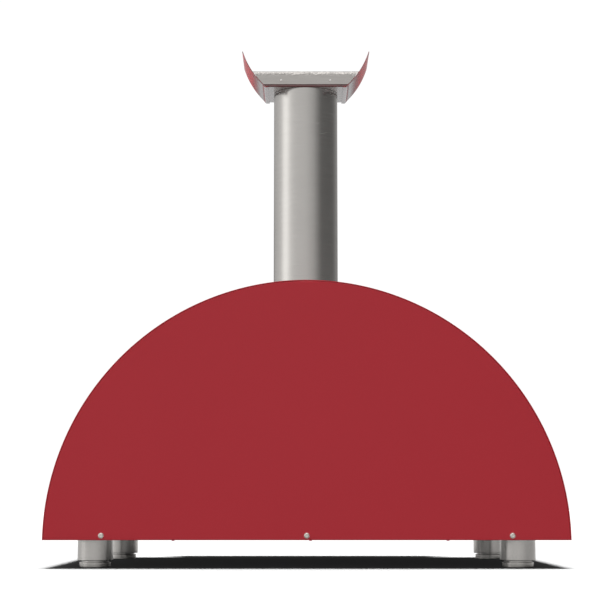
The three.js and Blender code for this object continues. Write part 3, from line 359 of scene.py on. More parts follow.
RED = "#d42c3a"
# Dark red for faces that look down: painted shade on the cap's undersides.
UNDERSIDE_SHADE = "#4a3436"
# Greyed red for steep and upright faces of the cap: a painted reflection of the bright surroundings.
SHEEN_GREY = "#9c7f7f"
GLASS = {"Transmission Weight": 1.0, "IOR": 1.5}
FINISHES = {
    "red_powder_coat": powder_coat(
        "red_powder_coat",
        [(0.0, RED), (1.0, RED)],
        [(0.0, 0.5), (1.0, 0.5)],
        0.08,
        0.04,
    ),
    # The wings' paint is darkened low on their underside as painted shade, and greyed at their tips and
    # upright edges as a painted reflection.
    "wing_paint": powder_coat(
        "wing_paint",
        [(0.165, UNDERSIDE_SHADE), (0.24, RED), (0.355, RED), (0.39, SHEEN_GREY), (0.53, SHEEN_GREY), (0.60, RED)],
        [(0.16, 1.0), (0.22, 0.5), (0.30, 0.5), (0.36, 0.9), (0.40, 0.5), (1.0, 0.5)],
        0.004,
        0.004,
    ),
    # The flat bottom between them is darkened all over as painted shade, its upstands are greyed as a painted
    # reflection, and it stays red on top.
    "tray_paint": powder_coat(
        "tray_paint",
        [(0.10, UNDERSIDE_SHADE), (0.22, SHEEN_GREY), (0.53, SHEEN_GREY), (0.60, RED)],
        [(0.16, 1.0), (0.25, 0.5), (1.0, 0.5)],
        0.0015,
        0.0015,
    ),
    # Flue and feet: the grain runs round the tube, 0.9 mm wide.
    "brushed_tube": brushed("brushed_tube", (40, 40, 0.9), "#d2cfcb", "#b6b3af", 0.20, 0.30),
    # Folded sheet: the grain runs along X, as it comes off the coil.
    "brushed_steel": brushed("brushed_steel", (45, 0.9, 0.9), "#c9c6c2", "#aaa7a3", 0.24, 0.38),
    # Screws, hinges and posts: turned and tumbled, with an even grain 2.5 mm across.
    "bright_steel": brushed("bright_steel", (2.5, 2.5, 2.5), "#e4e0d9", "#cdc8c0", 0.10, 0.18),
    # Soft aluminium, peened over a span of 0.6 mm. Its near-white, partly matt base is pale aluminium and
    # partly a painted highlight, so the heads read as bright dots.
    "rivet_metal": mottled("rivet_metal", 0.6, "#f3f1ec", "#ffffff", 0.25, 0.4, {"Metallic": 0.35}),
    "hood_steel": hood_steel(),
    "chamber_steel": chamber_steel(),
    "fire_clay": fire_clay(),
    "ceramic_fibre": ceramic_fibre(),
    "galvanised_steel": galvanised_steel(),
    "black_steel": black_steel(),
    "ash_wood": ash_wood(),
    # Fired white enamel, faintly uneven over 11 mm.
    "dial_enamel": mottled("dial_enamel", 11, "#e9e6dc", "#f4f2ea", 0.18, 0.28),
    # Screen-printed ink, with a grain of 1 mm.
    "dial_ink": mottled("dial_ink", 1.1, "#141414", "#2a2927", 0.5, 0.7),
    # Flat tempered glass with a trace of dust.
    "dial_glass": mottled("dial_glass", 3.3, "#fbfdfc", "#f4f7f6", 0.0, 0.05, GLASS),
}

# ---- Shapes ----

EDGE = 0.4 * MM  # how far the cut edges of sheet metal are rounded
ROUND_STEPS = 96
TURNED_STEPS = 64
SMALL_STEPS = 48
TINY_STEPS = 32
FILLET_STEPS = 5
SMOOTH_ANGLE = math.radians(32)
MERGED = 2e-6  # corners closer than this are one
NO_SIZE = 1e-7  # a smaller radius is a point, and a shorter edge is none
TOOL_REACH = 100 * MM  # how far a cutting tool runs past what it cuts
SIDEWAYS = Matrix.Rotation(-math.pi / 2, 4, "Z")  # lays a prism's section across the oven


def rounded(points, steps=FILLET_STEPS):
    """A closed outline from (a, b) and (a, b, fillet radius) points, with the fillets drawn in."""
    outline = []
    for i, point in enumerate(points):
        here = Vector(point[:2])
        if len(point) == 2:
            outline.append(here)
            continue
        back = (Vector(points[i - 1][:2]) - here).normalized()
        onward = (Vector(points[(i + 1) % len(points)][:2]) - here).normalized()
        half = back.angle(onward) / 2
        centre = here + (back + onward).normalized() * point[2] / math.sin(half)
        first = here + back * point[2] / math.tan(half) - centre
        last = here + onward * point[2] / math.tan(half) - centre
        sweep = first.angle_signed(last)
        for step in range(steps + 1):
            turn = Matrix.Rotation(-sweep * step / steps, 2)
            outline.append(centre + turn @ first)
    return outline


def arc(centre, radius, start, end, steps):
    """Points along an arc, in the plane of a and b."""
    angles = [start + (end - start) * i / steps for i in range(steps + 1)]
    return [(centre[0] + radius * math.cos(t), centre[1] + radius * math.sin(t)) for t in angles]


def folded(path, wall, bend):
    """The closed outline of a sheet that follows a path of corners.

    Its wall is on the path's left, or on its right if the wall is negative.
    """
    points = [Vector(p) for p in path]
    ways = [(b - a).normalized() for a, b in zip(points, points[1:])]
    lefts = [Vector((-way.y, way.x)) for way in ways]
    outer, inner = [points[0]], [points[0] + lefts[0] * wall]
    for i in range(1, len(points) - 1):
        corner = (lefts[i - 1] + lefts[i]).normalized()
        shift = wall / corner.dot(lefts[i])
        around = (ways[i - 1].cross(ways[i]) > 0) == (wall > 0)
        outer.append((*points[i], bend + abs(wall) if around else bend))
        inner.append((*(points[i] + corner * shift), bend if around else bend + abs(wall)))
    outer.append(points[-1])
    inner.append(points[-1] + lefts[-1] * wall)
    return rounded([tuple(p) for p in outer + inner[::-1]])


def lathe(bm, profile, place=Matrix(), steps=ROUND_STEPS):
    """Turns a closed profile of (radius, height) points about Z into bm."""
    rings = []
    for radius, height in (tuple(p) for p in profile):
        if radius < NO_SIZE:
            rings.append([bm.verts.new(place @ Vector((0, 0, height)))])
            continue
        angles = [2 * math.pi * i / steps for i in range(steps)]
        ring = [Vector((radius * math.cos(t), radius * math.sin(t), height)) for t in angles]
        rings.append([bm.verts.new(place @ v) for v in ring])
    for first, second in zip(rings, rings[1:] + rings[:1]):
        if len(first) == 1 and len(second) == 1:
            continue
        for i in range(steps):
            j = (i + 1) % steps
            corners = [first[i % len(first)], first[j % len(first)]]
            corners += [second[j % len(second)], second[i % len(second)]]
            bm.faces.new(list(dict.fromkeys(corners)))


def prism(bm, outline, start, end, holes=(), edge=EDGE, place=Matrix()):
    """Extrudes an outline in X and Z along Y, from start to end, into bm, with its edges rounded."""
    curve = bpy.data.curves.new("outline", "CURVE")
    curve.dimensions = "2D"
    curve.fill_mode = "BOTH"
    curve.extrude = (end - start) / 2 - edge
    curve.bevel_depth = edge
    curve.bevel_resolution = 1
    curve.offset = -edge
    for points in (outline, *holes):
        spline = curve.splines.new("POLY")
        spline.points.add(len(points) - 1)
        for point, (a, b) in zip(spline.points, points):
            point.co = (a, b, 0, 1)
        spline.use_cyclic_u = True
    shape = bpy.data.objects.new("outline", curve)
    mesh = bpy.data.meshes.new_from_object(shape)
    upright = Matrix.Translation((0, (start + end) / 2, 0)) @ Matrix.Rotation(math.pi / 2, 4, "X")
    mesh.transform(place @ upright)
    bm.from_mesh(mesh)
    bpy.data.objects.remove(shape)
    bpy.data.curves.remove(curve)
    bpy.data.meshes.remove(mesh)


def brick(bm, low, high, edge=EDGE):
    """A block between two corners, with rounded edges."""
    outline = [(low[0], low[2]), (high[0], low[2]), (high[0], high[2]), (low[0], high[2])]
    prism(bm, outline, low[1], high[1], edge=edge)


def circle(x, z, radius, steps=32):
    """A round hole's outline, in X and Z."""
    return arc((x, z), radius, 0, 2 * math.pi * (1 - 1 / steps), steps - 1)


def along_y(x, y, z, sign=1):
    """The place of turned work whose +Z end faces the rear (sign 1) or the front (sign -1)."""
    return Matrix.Translation((x, y, z)) @ Matrix.Rotation(-sign * math.pi / 2, 4, "X")


def settled(bm):
    """bm's mesh, with doubled corners merged and its faces turned outwards."""
    bmesh.ops.remove_doubles(bm, verts=bm.verts, dist=MERGED)
    bmesh.ops.dissolve_degenerate(bm, edges=bm.edges, dist=NO_SIZE)
    bmesh.ops.recalc_face_normals(bm, faces=bm.faces)
    mesh = bpy.data.meshes.new("settled")
    bm.to_mesh(mesh)
    bm.free()
    return mesh


def applied(obj):
    """Replaces obj's mesh with what its modifiers make of it, and removes them."""
    depsgraph = bpy.context.evaluated_depsgraph_get()
    made = bpy.data.meshes.new_from_object(obj.evaluated_get(depsgraph), depsgraph=depsgraph)
    obj.modifiers.clear()
    obj.data = made


def handed_over(obj, name, body, nodes):
    """Names a finished piece's mesh, and says what it rides on and stands in for."""
    obj.data.name = name
    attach(obj, body)
    if nodes:
        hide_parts(*nodes)


def piece(name, bm, look, nodes, body="oven", tools=()):
    """A finished piece: bm less the tools, shaded smooth with sharp corners, riding on a body."""
    obj = bpy.data.objects.new(name, settled(bm))
    bpy.context.scene.collection.objects.link(obj)
    cutters = []
    for tool in tools:
        cutter = bpy.data.objects.new("cutter", settled(tool))
        bpy.context.scene.collection.objects.link(cutter)
        cutters.append(cutter)
        cut = obj.modifiers.new("cut", "BOOLEAN")
        cut.object = cutter
        cut.solver = "EXACT"
    if cutters:
        applied(obj)
    for cutter in cutters:
        bpy.data.objects.remove(cutter)
    obj.data.shade_smooth()
    obj.data.set_sharp_from_angle(angle=SMOOTH_ANGLE)
    weigh = obj.modifiers.new("weigh", "WEIGHTED_NORMAL")
    weigh.keep_sharp = True
    applied(obj)
    obj.data.materials.clear()
    obj.data.materials.append(FINISHES[look])
    handed_over(obj, name, body, nodes)
    return obj


# ---- Repeated things ----


def repeater():
    """A node group that sets one item on every point of a mesh, turned by each point's "turn"."""
    group = bpy.data.node_groups.new("repeater", "GeometryNodeTree")
    face = group.interface
    face.new_socket("Geometry", in_out="INPUT", socket_type="NodeSocketGeometry")
    face.new_socket("Item", in_out="INPUT", socket_type="NodeSocketObject")
    face.new_socket("Finish", in_out="INPUT", socket_type="NodeSocketMaterial")
    face.new_socket("Geometry", in_out="OUTPUT", socket_type="NodeSocketGeometry")
    entry = add(group, "NodeGroupInput")
    item = add(group, "GeometryNodeObjectInfo", None, {"Object": entry.outputs["Item"]})
    turn = add(group, "GeometryNodeInputNamedAttribute", {"data_type": "FLOAT_VECTOR"}, {"Name": "turn"})
    copies = {"Points": entry.outputs["Geometry"], "Instance": item.outputs["Geometry"], "Rotation": turn}
    placed = add(group, "GeometryNodeInstanceOnPoints", None, copies)
    real = add(group, "GeometryNodeRealizeInstances", None, {"Geometry": placed})
    finished = {"Geometry": real, "Material": entry.outputs["Finish"]}
    dressed = add(group, "GeometryNodeSetMaterial", None, finished)
    add(group, "NodeGroupOutput", None, {"Geometry": dressed})
    return group


REPEATER = repeater()


def repeated(name, bm, places, look, nodes):
    """One piece with a copy of bm at each (location, turn)."""
    item = bpy.data.objects.new("item", settled(bm))
    item.data.shade_smooth()
    item.data.set_sharp_from_angle(angle=SMOOTH_ANGLE)
    bpy.context.scene.collection.objects.link(item)
    points = bpy.data.meshes.new(name)
    points.from_pydata([location for location, _ in places], [], [])
    turns = points.attributes.new("turn", "FLOAT_VECTOR", "POINT")
    for datum, (_, turn) in zip(turns.data, places):
        datum.vector = turn
    obj = bpy.data.objects.new(name, points)
    bpy.context.scene.collection.objects.link(obj)
    modifier = obj.modifiers.new("repeat", "NODES")
    modifier.node_group = REPEATER
    for socket in REPEATER.interface.items_tree:
        if socket.in_out == "INPUT" and socket.name == "Item":
            modifier[socket.identifier] = item
        if socket.in_out == "INPUT" and socket.name == "Finish":
            modifier[socket.identifier] = FINISHES[look]
    applied(obj)
    bpy.data.objects.remove(item)
    handed_over(obj, name, "oven", nodes)


# ---- Places, from the frame ----


def middle(node):
    low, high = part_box(node)
    return (low + high) / 2


def frame_joint(name):
    """Where a joint's axis passes, in the row frame."""
    joint = next(j for j in frame["record"]["behaviour"]["joints"] if j["name"] == name)
    return Vector(joint["pos_m"])


BODY_LOW, BODY_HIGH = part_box("outer_shell")
REAR = BODY_HIGH.y
FRONT = BODY_LOW.y
BASE = BODY_LOW.z
BODY_HEIGHT = BODY_HIGH.z - BASE
BODY_RADIUS = (BODY_HIGH.x**2 + BODY_HEIGHT**2) / (2 * BODY_HEIGHT)
BODY_CENTRE = BODY_HIGH.z - BODY_RADIUS
SHEET = 2 * MM
GAP = 0.3 * MM
RIM_DEPTH = 14 * MM
RIM_WALL = 1.5 * MM
BARREL_STEPS = 180
ARCH_STEPS = 64
FLUE_STEPS = 144
PANEL_RADIUS = BODY_RADIUS - SHEET - GAP
CORNER_STEP = 29 * MM  # the rims stop this far above the underside, clear of the tray
FLOOR_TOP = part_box("floor_tile_rear_right")[1].z
THROAT_LOW, THROAT_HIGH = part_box("mouth_throat")
THROAT_WALL = 2 * MM
THROAT_CLEAR = THROAT_WALL + GAP  # how far a sheet's opening stands outside the mouth
MOUTH_HALF = THROAT_HIGH.x - THROAT_WALL
MOUTH_TOP = THROAT_HIGH.z - THROAT_WALL
MOUTH_SIDE = FLOOR_TOP + 100 * MM  # where the mouth's straight sides end
FLUE_LOW, FLUE_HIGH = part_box("flue_pipe")
FLUE_Y = (FLUE_LOW.y + FLUE_HIGH.y) / 2
FLUE_RADIUS = FLUE_HIGH.x
FLUE_WALL = 1.5 * MM
FLUE_CLEAR = 0.6 * MM  # how far the holes it passes stand outside it
FLUE_LINE = Matrix.Translation((0, FLUE_Y, 0))


def angle_at(radius, z):
    """The angle at which a circle about the barrel's centre reaches a height."""
    return math.asin((z - BODY_CENTRE) / radius)


def segment(radius, base):
    """The part of a disc about the barrel's centre that lies above base."""
    start = angle_at(radius, base)
    return arc((0, BODY_CENTRE), radius, start, math.pi - start, BARREL_STEPS)


def band(inner, outer, base):
    """The part of a ring about the barrel's centre that lies above base."""
    outside, inside = angle_at(outer, base), angle_at(inner, base)
    far = arc((0, BODY_CENTRE), outer, outside, math.pi - outside, BARREL_STEPS)
    return far + arc((0, BODY_CENTRE), inner, math.pi - inside, inside, BARREL_STEPS)


def arch(grow, bottom, fillet=0.0):
    """The mouth's segmental arch, grown outwards by an even margin, with its lower corners filleted."""
    sagitta = MOUTH_TOP - MOUTH_SIDE
    radius = (MOUTH_HALF**2 + sagitta**2) / (2 * sagitta)
    centre = (0, MOUTH_TOP - radius)
    half = MOUTH_HALF + grow
    start = math.acos(half / (radius + grow))
    top = arc(centre, radius + grow, start, math.pi - start, ARCH_STEPS)
    corners = [(-half, bottom), (half, bottom)]
    if fillet:
        corners = rounded([top[-1], (-half, bottom, fillet), (half, bottom, fillet), top[0]])[1:-1]
    return [tuple(p) for p in corners] + top


def flue_bore(radius, bottom, top):
    """A round cutting tool about the flue's line, between two heights."""
    tool = bmesh.new()
    lathe(tool, [(0, bottom), (radius, bottom), (radius, top), (0, top)], FLUE_LINE)
    return tool


def heads_at(nodes, y, sign):
    """Where screws or rivets sit: their heads face the rear (sign 1) or the front (sign -1)."""
    return [((middle(node).x, y, middle(node).z), (-sign * math.pi / 2, 0, 0)) for node in nodes]


def holes_at(nodes, radius):
    """Round holes behind screws, in X and Z."""
    return [circle(middle(node).x, middle(node).z, radius) for node in nodes]


def front_openings():
    """The mouth and the thermometer's stem hole, which the front walls share."""
    dial = middle("thermometer_dial")
    return [arch(THROAT_CLEAR, FLOOR_TOP - THROAT_CLEAR), circle(dial.x, dial.z, STEM_HOLE)]


# ---- Body ----

SCREW_HOLE = 2.85 * MM
SCREW_GAP = 0.05 * MM  # between a screw's washer and its sheet
STEM_HOLE = 4.6 * MM
PRESSED_EDGE = 0.9 * MM
SHELF_HEM = 18 * MM
SHELF_BEND = 2 * MM
DRILL_REACH = 5 * MM
TAB_OFFSET = -7 * MM
TAB_PITCH = 254.3 * MM
TAB_HALF = 2.5 * MM
REAR_SCREWS = ("rear_screw_left", "rear_screw_centre", "rear_screw_right")
FRONT_SCREWS = ("front_screw_left", "front_screw_right")
SHELF_SCREWS = ("shelf_screw_left", "shelf_screw_right")


def make_shell():
    bm = bmesh.new()
    prism(bm, band(BODY_RADIUS - SHEET, BODY_RADIUS, BASE), FRONT, REAR)
    hole = flue_bore(FLUE_RADIUS + FLUE_CLEAR, BODY_CENTRE, BODY_HIGH.z + TOOL_REACH)
    piece("shell_sheet", bm, "red_powder_coat", ["outer_shell"], tools=[hole])


def rim(bm, start, end):
    """The folded rim of a flat panel, along the barrel."""
    prism(bm, band(PANEL_RADIUS - RIM_WALL, PANEL_RADIUS, BASE + CORNER_STEP), start, end)


def make_rear_panel():
    bm = bmesh.new()
    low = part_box("rear_panel")[0]
    # The face is pressed over the rim with a soft edge, and three tabs hang from it.
    holes = holes_at(REAR_SCREWS, SCREW_HOLE)
    prism(bm, segment(PANEL_RADIUS, BASE), REAR - SHEET, REAR, holes, PRESSED_EDGE)
    rim(bm, REAR - RIM_DEPTH, REAR - SHEET + EDGE)
    for place in (-1, 0, 1):
        x = TAB_OFFSET + place * TAB_PITCH
        brick(bm, (x - TAB_HALF, REAR - SHEET, low.z), (x + TAB_HALF, REAR, BASE + 2 * MM))
    piece("rear_panel_sheet", bm, "red_powder_coat", ["rear_panel"])


def make_front_panel():
    holes = holes_at(FRONT_SCREWS + SHELF_SCREWS, SCREW_HOLE) + front_openings()
    bm = bmesh.new()
    prism(bm, segment(PANEL_RADIUS, BASE), FRONT, FRONT + SHEET, holes, PRESSED_EDGE)
    rim(bm, FRONT + SHEET - EDGE, FRONT + RIM_DEPTH)
    piece("front_panel_sheet", bm, "brushed_steel", ["front_panel"])


def screw():
    """A pan-head screw along Z, with a round recess and a flat washer under the head."""
    bm = bmesh.new()
    shank = [(0, -7 * MM), (2.5 * MM, -7 * MM), (2.5 * MM, 0)]
    washer = [(5.2 * MM, 0), (5.2 * MM, 0.55 * MM, 0.3 * MM), (4.5 * MM, 0.75 * MM)]
    head = [(4.4 * MM, 1.5 * MM, 0.5 * MM), (3.6 * MM, 2.5 * MM, 1.2 * MM)]
    recess = [(1.9 * MM, 2.58 * MM, 0.15 * MM), (1.7 * MM, 1.2 * MM), (0, 1.0 * MM)]
    lathe(bm, rounded(shank + washer + head + recess), steps=SMALL_STEPS)
    return bm


def make_screws():
    rear = heads_at(REAR_SCREWS, REAR + SCREW_GAP, 1)
    repeated("rear_screws", screw(), rear, "bright_steel", REAR_SCREWS)
    shelf = FRONT - GAP - SHEET
    front = heads_at(FRONT_SCREWS, FRONT - SCREW_GAP, -1)
    front += heads_at(SHELF_SCREWS, shelf - SCREW_GAP, -1)
    repeated("front_screws", screw(), front, "bright_steel", FRONT_SCREWS + SHELF_SCREWS)


def make_shelf():
    low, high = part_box("landing_shelf")
    hem = high.z - SHELF_HEM
    # The sheet runs from the screwed flange, over the top and down the front hem.
    path = [(-high.y, low.z), (-high.y, high.z), (-low.y, high.z), (-low.y, hem)]
    bm = bmesh.new()
    prism(bm, folded(path, -SHEET, SHELF_BEND), low.x + SHEET, high.x - SHEET, place=SIDEWAYS)
    for x in (low.x, high.x - SHEET):
        brick(bm, (x, low.y, hem), (x + SHEET, high.y, high.z))
    lip = bmesh.new()
    prism(lip, arch(THROAT_CLEAR, FLOOR_TOP - THROAT_CLEAR), high.y - 2.5 * MM, high.y + 5 * MM)
    tools = [lip]
    drilled = [(0, -DRILL_REACH), (SCREW_HOLE, -DRILL_REACH), (SCREW_HOLE, DRILL_REACH), (0, DRILL_REACH)]
    for node in SHELF_SCREWS:
        drill = bmesh.new()
        lathe(drill, drilled, along_y(middle(node).x, high.y, middle(node).z), SMALL_STEPS)
        tools.append(drill)
    piece("shelf_sheet", bm, "brushed_steel", ["landing_shelf"], tools=tools)


# ---- Feet ----

FOOT_WALL = 2 * MM
FOOT_PLUG = 4 * MM  # the thickness of the plate that closes the tube
STUD_RADIUS = 8 * MM
STUD_HOLE = 8.4 * MM
PAD_RISE = 10.5 * MM
PAD_TOP = 12.4 * MM
PAD_STEP = 3.7 * MM


def make_feet():
    for corner in ("front_left", "front_right", "rear_left", "rear_right"):
        node = "foot_tube_" + corner
        low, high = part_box(node)
        radius = max(high.x - low.x, high.y - low.y) / 2
        x = math.copysign((abs(low.x) + abs(high.x)) / 2, low.x)
        place = Matrix.Translation((x, high.y - (high.y - low.y) / 2, 0))
        inner = radius - FOOT_WALL
        plug = low.z + FOOT_PLUG
        tube = [(0, high.z - FOOT_WALL), (inner, high.z - FOOT_WALL), (inner, plug), (STUD_HOLE, plug)]
        tube += [(STUD_HOLE, low.z), (radius, low.z, 1.0 * MM), (radius, high.z, 0.5 * MM), (0, high.z)]
        bm = bmesh.new()
        lathe(bm, rounded(tube), place)
        piece("foot_" + corner, bm, "brushed_tube", [node])

        node = "foot_pad_" + corner
        low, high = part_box(node)
        radius = max(high.x - low.x, high.y - low.y) / 2
        step = radius - PAD_STEP
        pad = [(0, 0), (radius, 0, 0.8 * MM), (radius, PAD_RISE, 1.2 * MM), (step, PAD_RISE), (step, PAD_TOP)]
        pad += [(STUD_RADIUS, PAD_TOP), (STUD_RADIUS, high.z, 0.8 * MM), (0, high.z)]
        bm = bmesh.new()
        lathe(bm, rounded(pad), place)
        piece("pad_disc_" + corner, bm, "brushed_tube", [node], "pad_" + corner)


# ---- Chamber ----

TILE_EDGE = 1.6 * MM
THROAT_EDGE = 0.7 * MM
SPIGOT_EDGE = 4 * MM  # how far the vault's hole stands inside the spigot's outline
GUARD_BAR = 4 * MM
GUARD_FOOT = 2 * MM
GUARD_POSTS = 3
GUARD_RAILS = (26 * MM, 54 * MM)


def make_chamber():
    for end in ("front", "rear"):
        for side in ("left", "right"):
            node = f"floor_tile_{end}_{side}"
            bm = bmesh.new()
            brick(bm, *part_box(node), edge=TILE_EDGE)
            piece(f"tile_{end}_{side}", bm, "fire_clay", [node])

    low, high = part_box("inner_vault")
    outer = high.z - BODY_CENTRE
    bm = bmesh.new()
    prism(bm, band(outer - SHEET, outer, low.z), low.y, high.y)
    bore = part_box("flue_spigot")[1].x - SPIGOT_EDGE
    hole = flue_bore(bore, low.z, high.z + TOOL_REACH)
    piece("vault_sheet", bm, "chamber_steel", ["inner_vault"], tools=[hole])

    low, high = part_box("inner_rear_wall")
    bm = bmesh.new()
    prism(bm, segment(outer, low.z), low.y, high.y)
    piece("rear_wall_sheet", bm, "chamber_steel", ["inner_rear_wall"])

    low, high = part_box("inner_front_wall")
    bm = bmesh.new()
    prism(bm, segment(outer, low.z), low.y, high.y, front_openings())
    piece("front_wall_sheet", bm, "chamber_steel", ["inner_front_wall"])

    bm = bmesh.new()
    outline = arch(THROAT_WALL, FLOOR_TOP - THROAT_WALL)
    prism(bm, outline, THROAT_LOW.y, THROAT_HIGH.y, [arch(0, FLOOR_TOP)], THROAT_EDGE)
    piece("throat_sheet", bm, "chamber_steel", ["mouth_throat"])


def make_guard():
    low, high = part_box("ember_guard")
    x = (low.x + high.x) / 2
    radius = GUARD_BAR
    bm = bmesh.new()
    brick(bm, low, (high.x, high.y, low.z + GUARD_FOOT))
    span = high.y - low.y - 2 * radius
    for i in range(GUARD_POSTS):
        y = low.y + radius + span * i / (GUARD_POSTS - 1)
        post = rounded([(0, 0), (radius, 0), (radius, high.z - low.z, radius * 0.6), (0, high.z - low.z)])
        lathe(bm, post, Matrix.Translation((x, y, low.z)), TINY_STEPS)
    for rise in GUARD_RAILS:
        rail = rounded([(0, low.y), (radius, low.y, 0.8 * MM), (radius, high.y, 0.8 * MM), (0, high.y)])
        lathe(bm, rail, along_y(x, 0, low.z + rise), TINY_STEPS)
    piece("guard_bars", bm, "black_steel", ["ember_guard"])


# ---- Door ----

DOOR_WALL = 1.5 * MM
GROOVE_INSET = 26 * MM
GROOVE_WIDTH = 4 * MM
GROOVE_DEPTH = 0.9 * MM
GRIP_END = 7 * MM
GRIP_WAIST = 8.4 * MM
GRIP_SWELL = 1.5 * MM  # how much thicker it is at its middle and towards both ends
GRIP_STEPS = 48
POST_RADIUS = 5 * MM


def make_door():
    low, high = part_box("door_outer_skin")
    grow = high.x - MOUTH_HALF
    wall = DOOR_WALL
    # A pan: a face with a soft pressed edge and a shallow groove round it, and a folded side.
    bm = bmesh.new()
    outline = arch(grow, low.z, fillet=3 * MM)
    prism(bm, outline, low.y, low.y + wall * 2, edge=wall * 0.9)
    prism(bm, outline, low.y + wall, high.y, [arch(grow - wall, low.z + wall)])
    groove = bmesh.new()
    outset, inset = GROOVE_INSET, GROOVE_INSET + GROOVE_WIDTH
    outside = arch(grow - outset, low.z + outset, fillet=12 * MM)
    inside = arch(grow - inset, low.z + inset, fillet=9 * MM)
    prism(groove, outside, low.y - 5 * MM, low.y + GROOVE_DEPTH, [inside], 0.3 * MM)
    piece("door_pan", bm, "brushed_steel", ["door_outer_skin"], "door", [groove])

    low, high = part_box("door_inner_skin")
    bm = bmesh.new()
    prism(bm, arch(high.x - MOUTH_HALF, low.z), low.y, high.y)
    piece("door_liner", bm, "chamber_steel", ["door_inner_skin"], "door")

    low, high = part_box("door_handle_bar")
    half = (high.x - low.x) / 2
    shape = [(0, -half), (GRIP_END, -half, 2.5 * MM)]
    for share in [-0.94 + 0.04 * i for i in range(GRIP_STEPS)]:
        swollen = abs(share) < 0.25 or abs(share) > 0.75
        radius = GRIP_WAIST + GRIP_SWELL * math.cos(math.pi * share * 2) ** 2 * (1 if swollen else 0)
        shape.append((radius, share * half))
    shape += [(GRIP_END, half, 2.5 * MM), (0, half)]
    bm = bmesh.new()
    centre = (low + high) / 2
    lathe(bm, rounded(shape), Matrix.Translation(centre) @ Matrix.Rotation(math.pi / 2, 4, "Y"), TURNED_STEPS)
    piece("handle_grip", bm, "ash_wood", ["door_handle_bar"], "door")

    post = [(0, 0), (9 * MM, 0), (9 * MM, 3 * MM, 1.2 * MM), (POST_RADIUS, 4.5 * MM, 2 * MM)]
    for side in ("left", "right"):
        node = "door_handle_post_" + side
        low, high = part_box(node)
        reach = high.y - low.y
        bm = bmesh.new()
        place = along_y((low.x + high.x) / 2, high.y, (low.z + high.z) / 2, -1)
        lathe(bm, rounded(post + [(POST_RADIUS, reach), (0, reach)]), place, SMALL_STEPS)
        piece("handle_post_" + side, bm, "bright_steel", [node], "door")


# ---- Hinges ----

HINGE_WALL = 2.5 * MM
BARREL = 7.5 * MM
PIN_RADIUS = 4 * MM
PIN_HOLE = 4.3 * MM
PIN_TIP = 1 * MM  # how far a hinge pin stands above its leaf
STUD_INSETS = (14 * MM, 46 * MM)  # from the strap's far end


def make_hinges():
    pin = frame_joint("door_hinge")
    pin_line = Matrix.Translation((pin.x, pin.y, 0))
    for level in ("lower", "upper"):
        low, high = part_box("hinge_bracket_" + level)
        strap_low, strap_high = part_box("hinge_strap_" + level)
        split = strap_low.z - GAP / 2
        bm = bmesh.new()
        top = high.z - PIN_TIP
        leaf = rounded([(low.x, low.z, 4 * MM), (pin.x, low.z), (pin.x, top), (low.x, top, 4 * MM)])
        leaf_holes = [circle(low.x + 12 * MM, (low.z + top) / 2, 2.2 * MM)]
        prism(bm, leaf, FRONT - GAP - HINGE_WALL, FRONT - GAP, leaf_holes)
        seat = split - GAP
        barrel = [(0, low.z), (BARREL, low.z, 0.6 * MM), (BARREL, seat, 0.6 * MM), (0, seat)]
        lathe(bm, rounded(barrel), pin_line, TURNED_STEPS)
        base = low.z + PIN_TIP
        stem = [(0, base), (PIN_RADIUS, base), (PIN_RADIUS, high.z, 0.8 * MM), (0, high.z)]
        lathe(bm, rounded(stem), pin_line, TURNED_STEPS)
        brick(bm, (pin.x - 6 * MM, pin.y, low.z), (pin.x, FRONT - GAP, seat))
        piece("bracket_" + level, bm, "bright_steel", ["hinge_bracket_" + level])

        bm = bmesh.new()
        foot, top = split + GAP, strap_high.z
        barrel = [(PIN_HOLE, foot), (BARREL, foot, 0.6 * MM), (BARREL, top, 0.6 * MM), (PIN_HOLE, top)]
        lathe(bm, rounded(barrel), pin_line, TURNED_STEPS)
        reach = strap_high.x
        rise = (strap_low.z + strap_high.z) / 2
        strap = [(pin.x + 1 * MM, strap_low.z), (reach, strap_low.z, 5 * MM), (reach, strap_high.z, 5 * MM)]
        strap += [(pin.x + 1 * MM, strap_high.z)]
        outer = strap_low.y
        prism(bm, rounded(strap), outer, outer + HINGE_WALL)
        brick(
            bm,
            (pin.x + 4.6 * MM, outer + EDGE, strap_low.z + EDGE),
            (pin.x + 6.6 * MM, pin.y, strap_high.z - EDGE),
        )
        stud = rounded([(0, 0), (3.4 * MM, 0), (3.2 * MM, 1.4 * MM, 0.9 * MM), (0, 1.7 * MM)])
        for inset in STUD_INSETS:
            lathe(bm, stud, along_y(reach - inset, outer + 0.1 * MM, rise, -1), TINY_STEPS)
        piece("strap_" + level, bm, "bright_steel", ["hinge_strap_" + level], "door")


# ---- Thermometer ----

DIAL_SWEEP = math.radians(270)
DIAL_MARKS = 51
DIAL_LABELS = ("0", "100", "200", "300", "400", "500")
# Each kind of mark: its name, how many marks apart, its half width and its length.
DIAL_TICKS = (("fine", 1, 0.22 * MM, 2.2 * MM), ("long", 5, 0.4 * MM, 4.2 * MM))
DIAL_RADIUS = 31 * MM
TICK_RADIUS = 28.5 * MM
LABEL_RADIUS = 20 * MM
LABEL_HEIGHT = 4.4 * MM
UNIT_HEIGHT = 5.0 * MM
UNIT_DROP = 12 * MM
CASE_DEPTH = 18 * MM
CASE_INNER = 31.3 * MM
CASE_LIP = 2 * MM
CASE_FLOOR = 2.5 * MM
STEM_RADIUS = 4 * MM
STEM_LENGTH = 86 * MM
INK = 0.12 * MM  # how far a mark stands off the plate
INK_HEIGHT = 0.06 * MM  # how far a letter does
NEEDLE_TIP = 25 * MM
NEEDLE_TAIL = -9 * MM
HUB_RADIUS = 3.2 * MM
HUB_DEPTH = 1.8 * MM
SHAFT_RADIUS = 1.2 * MM
SHAFT_DEPTH = 3.2 * MM  # it ends in the plate's hole, short of the case


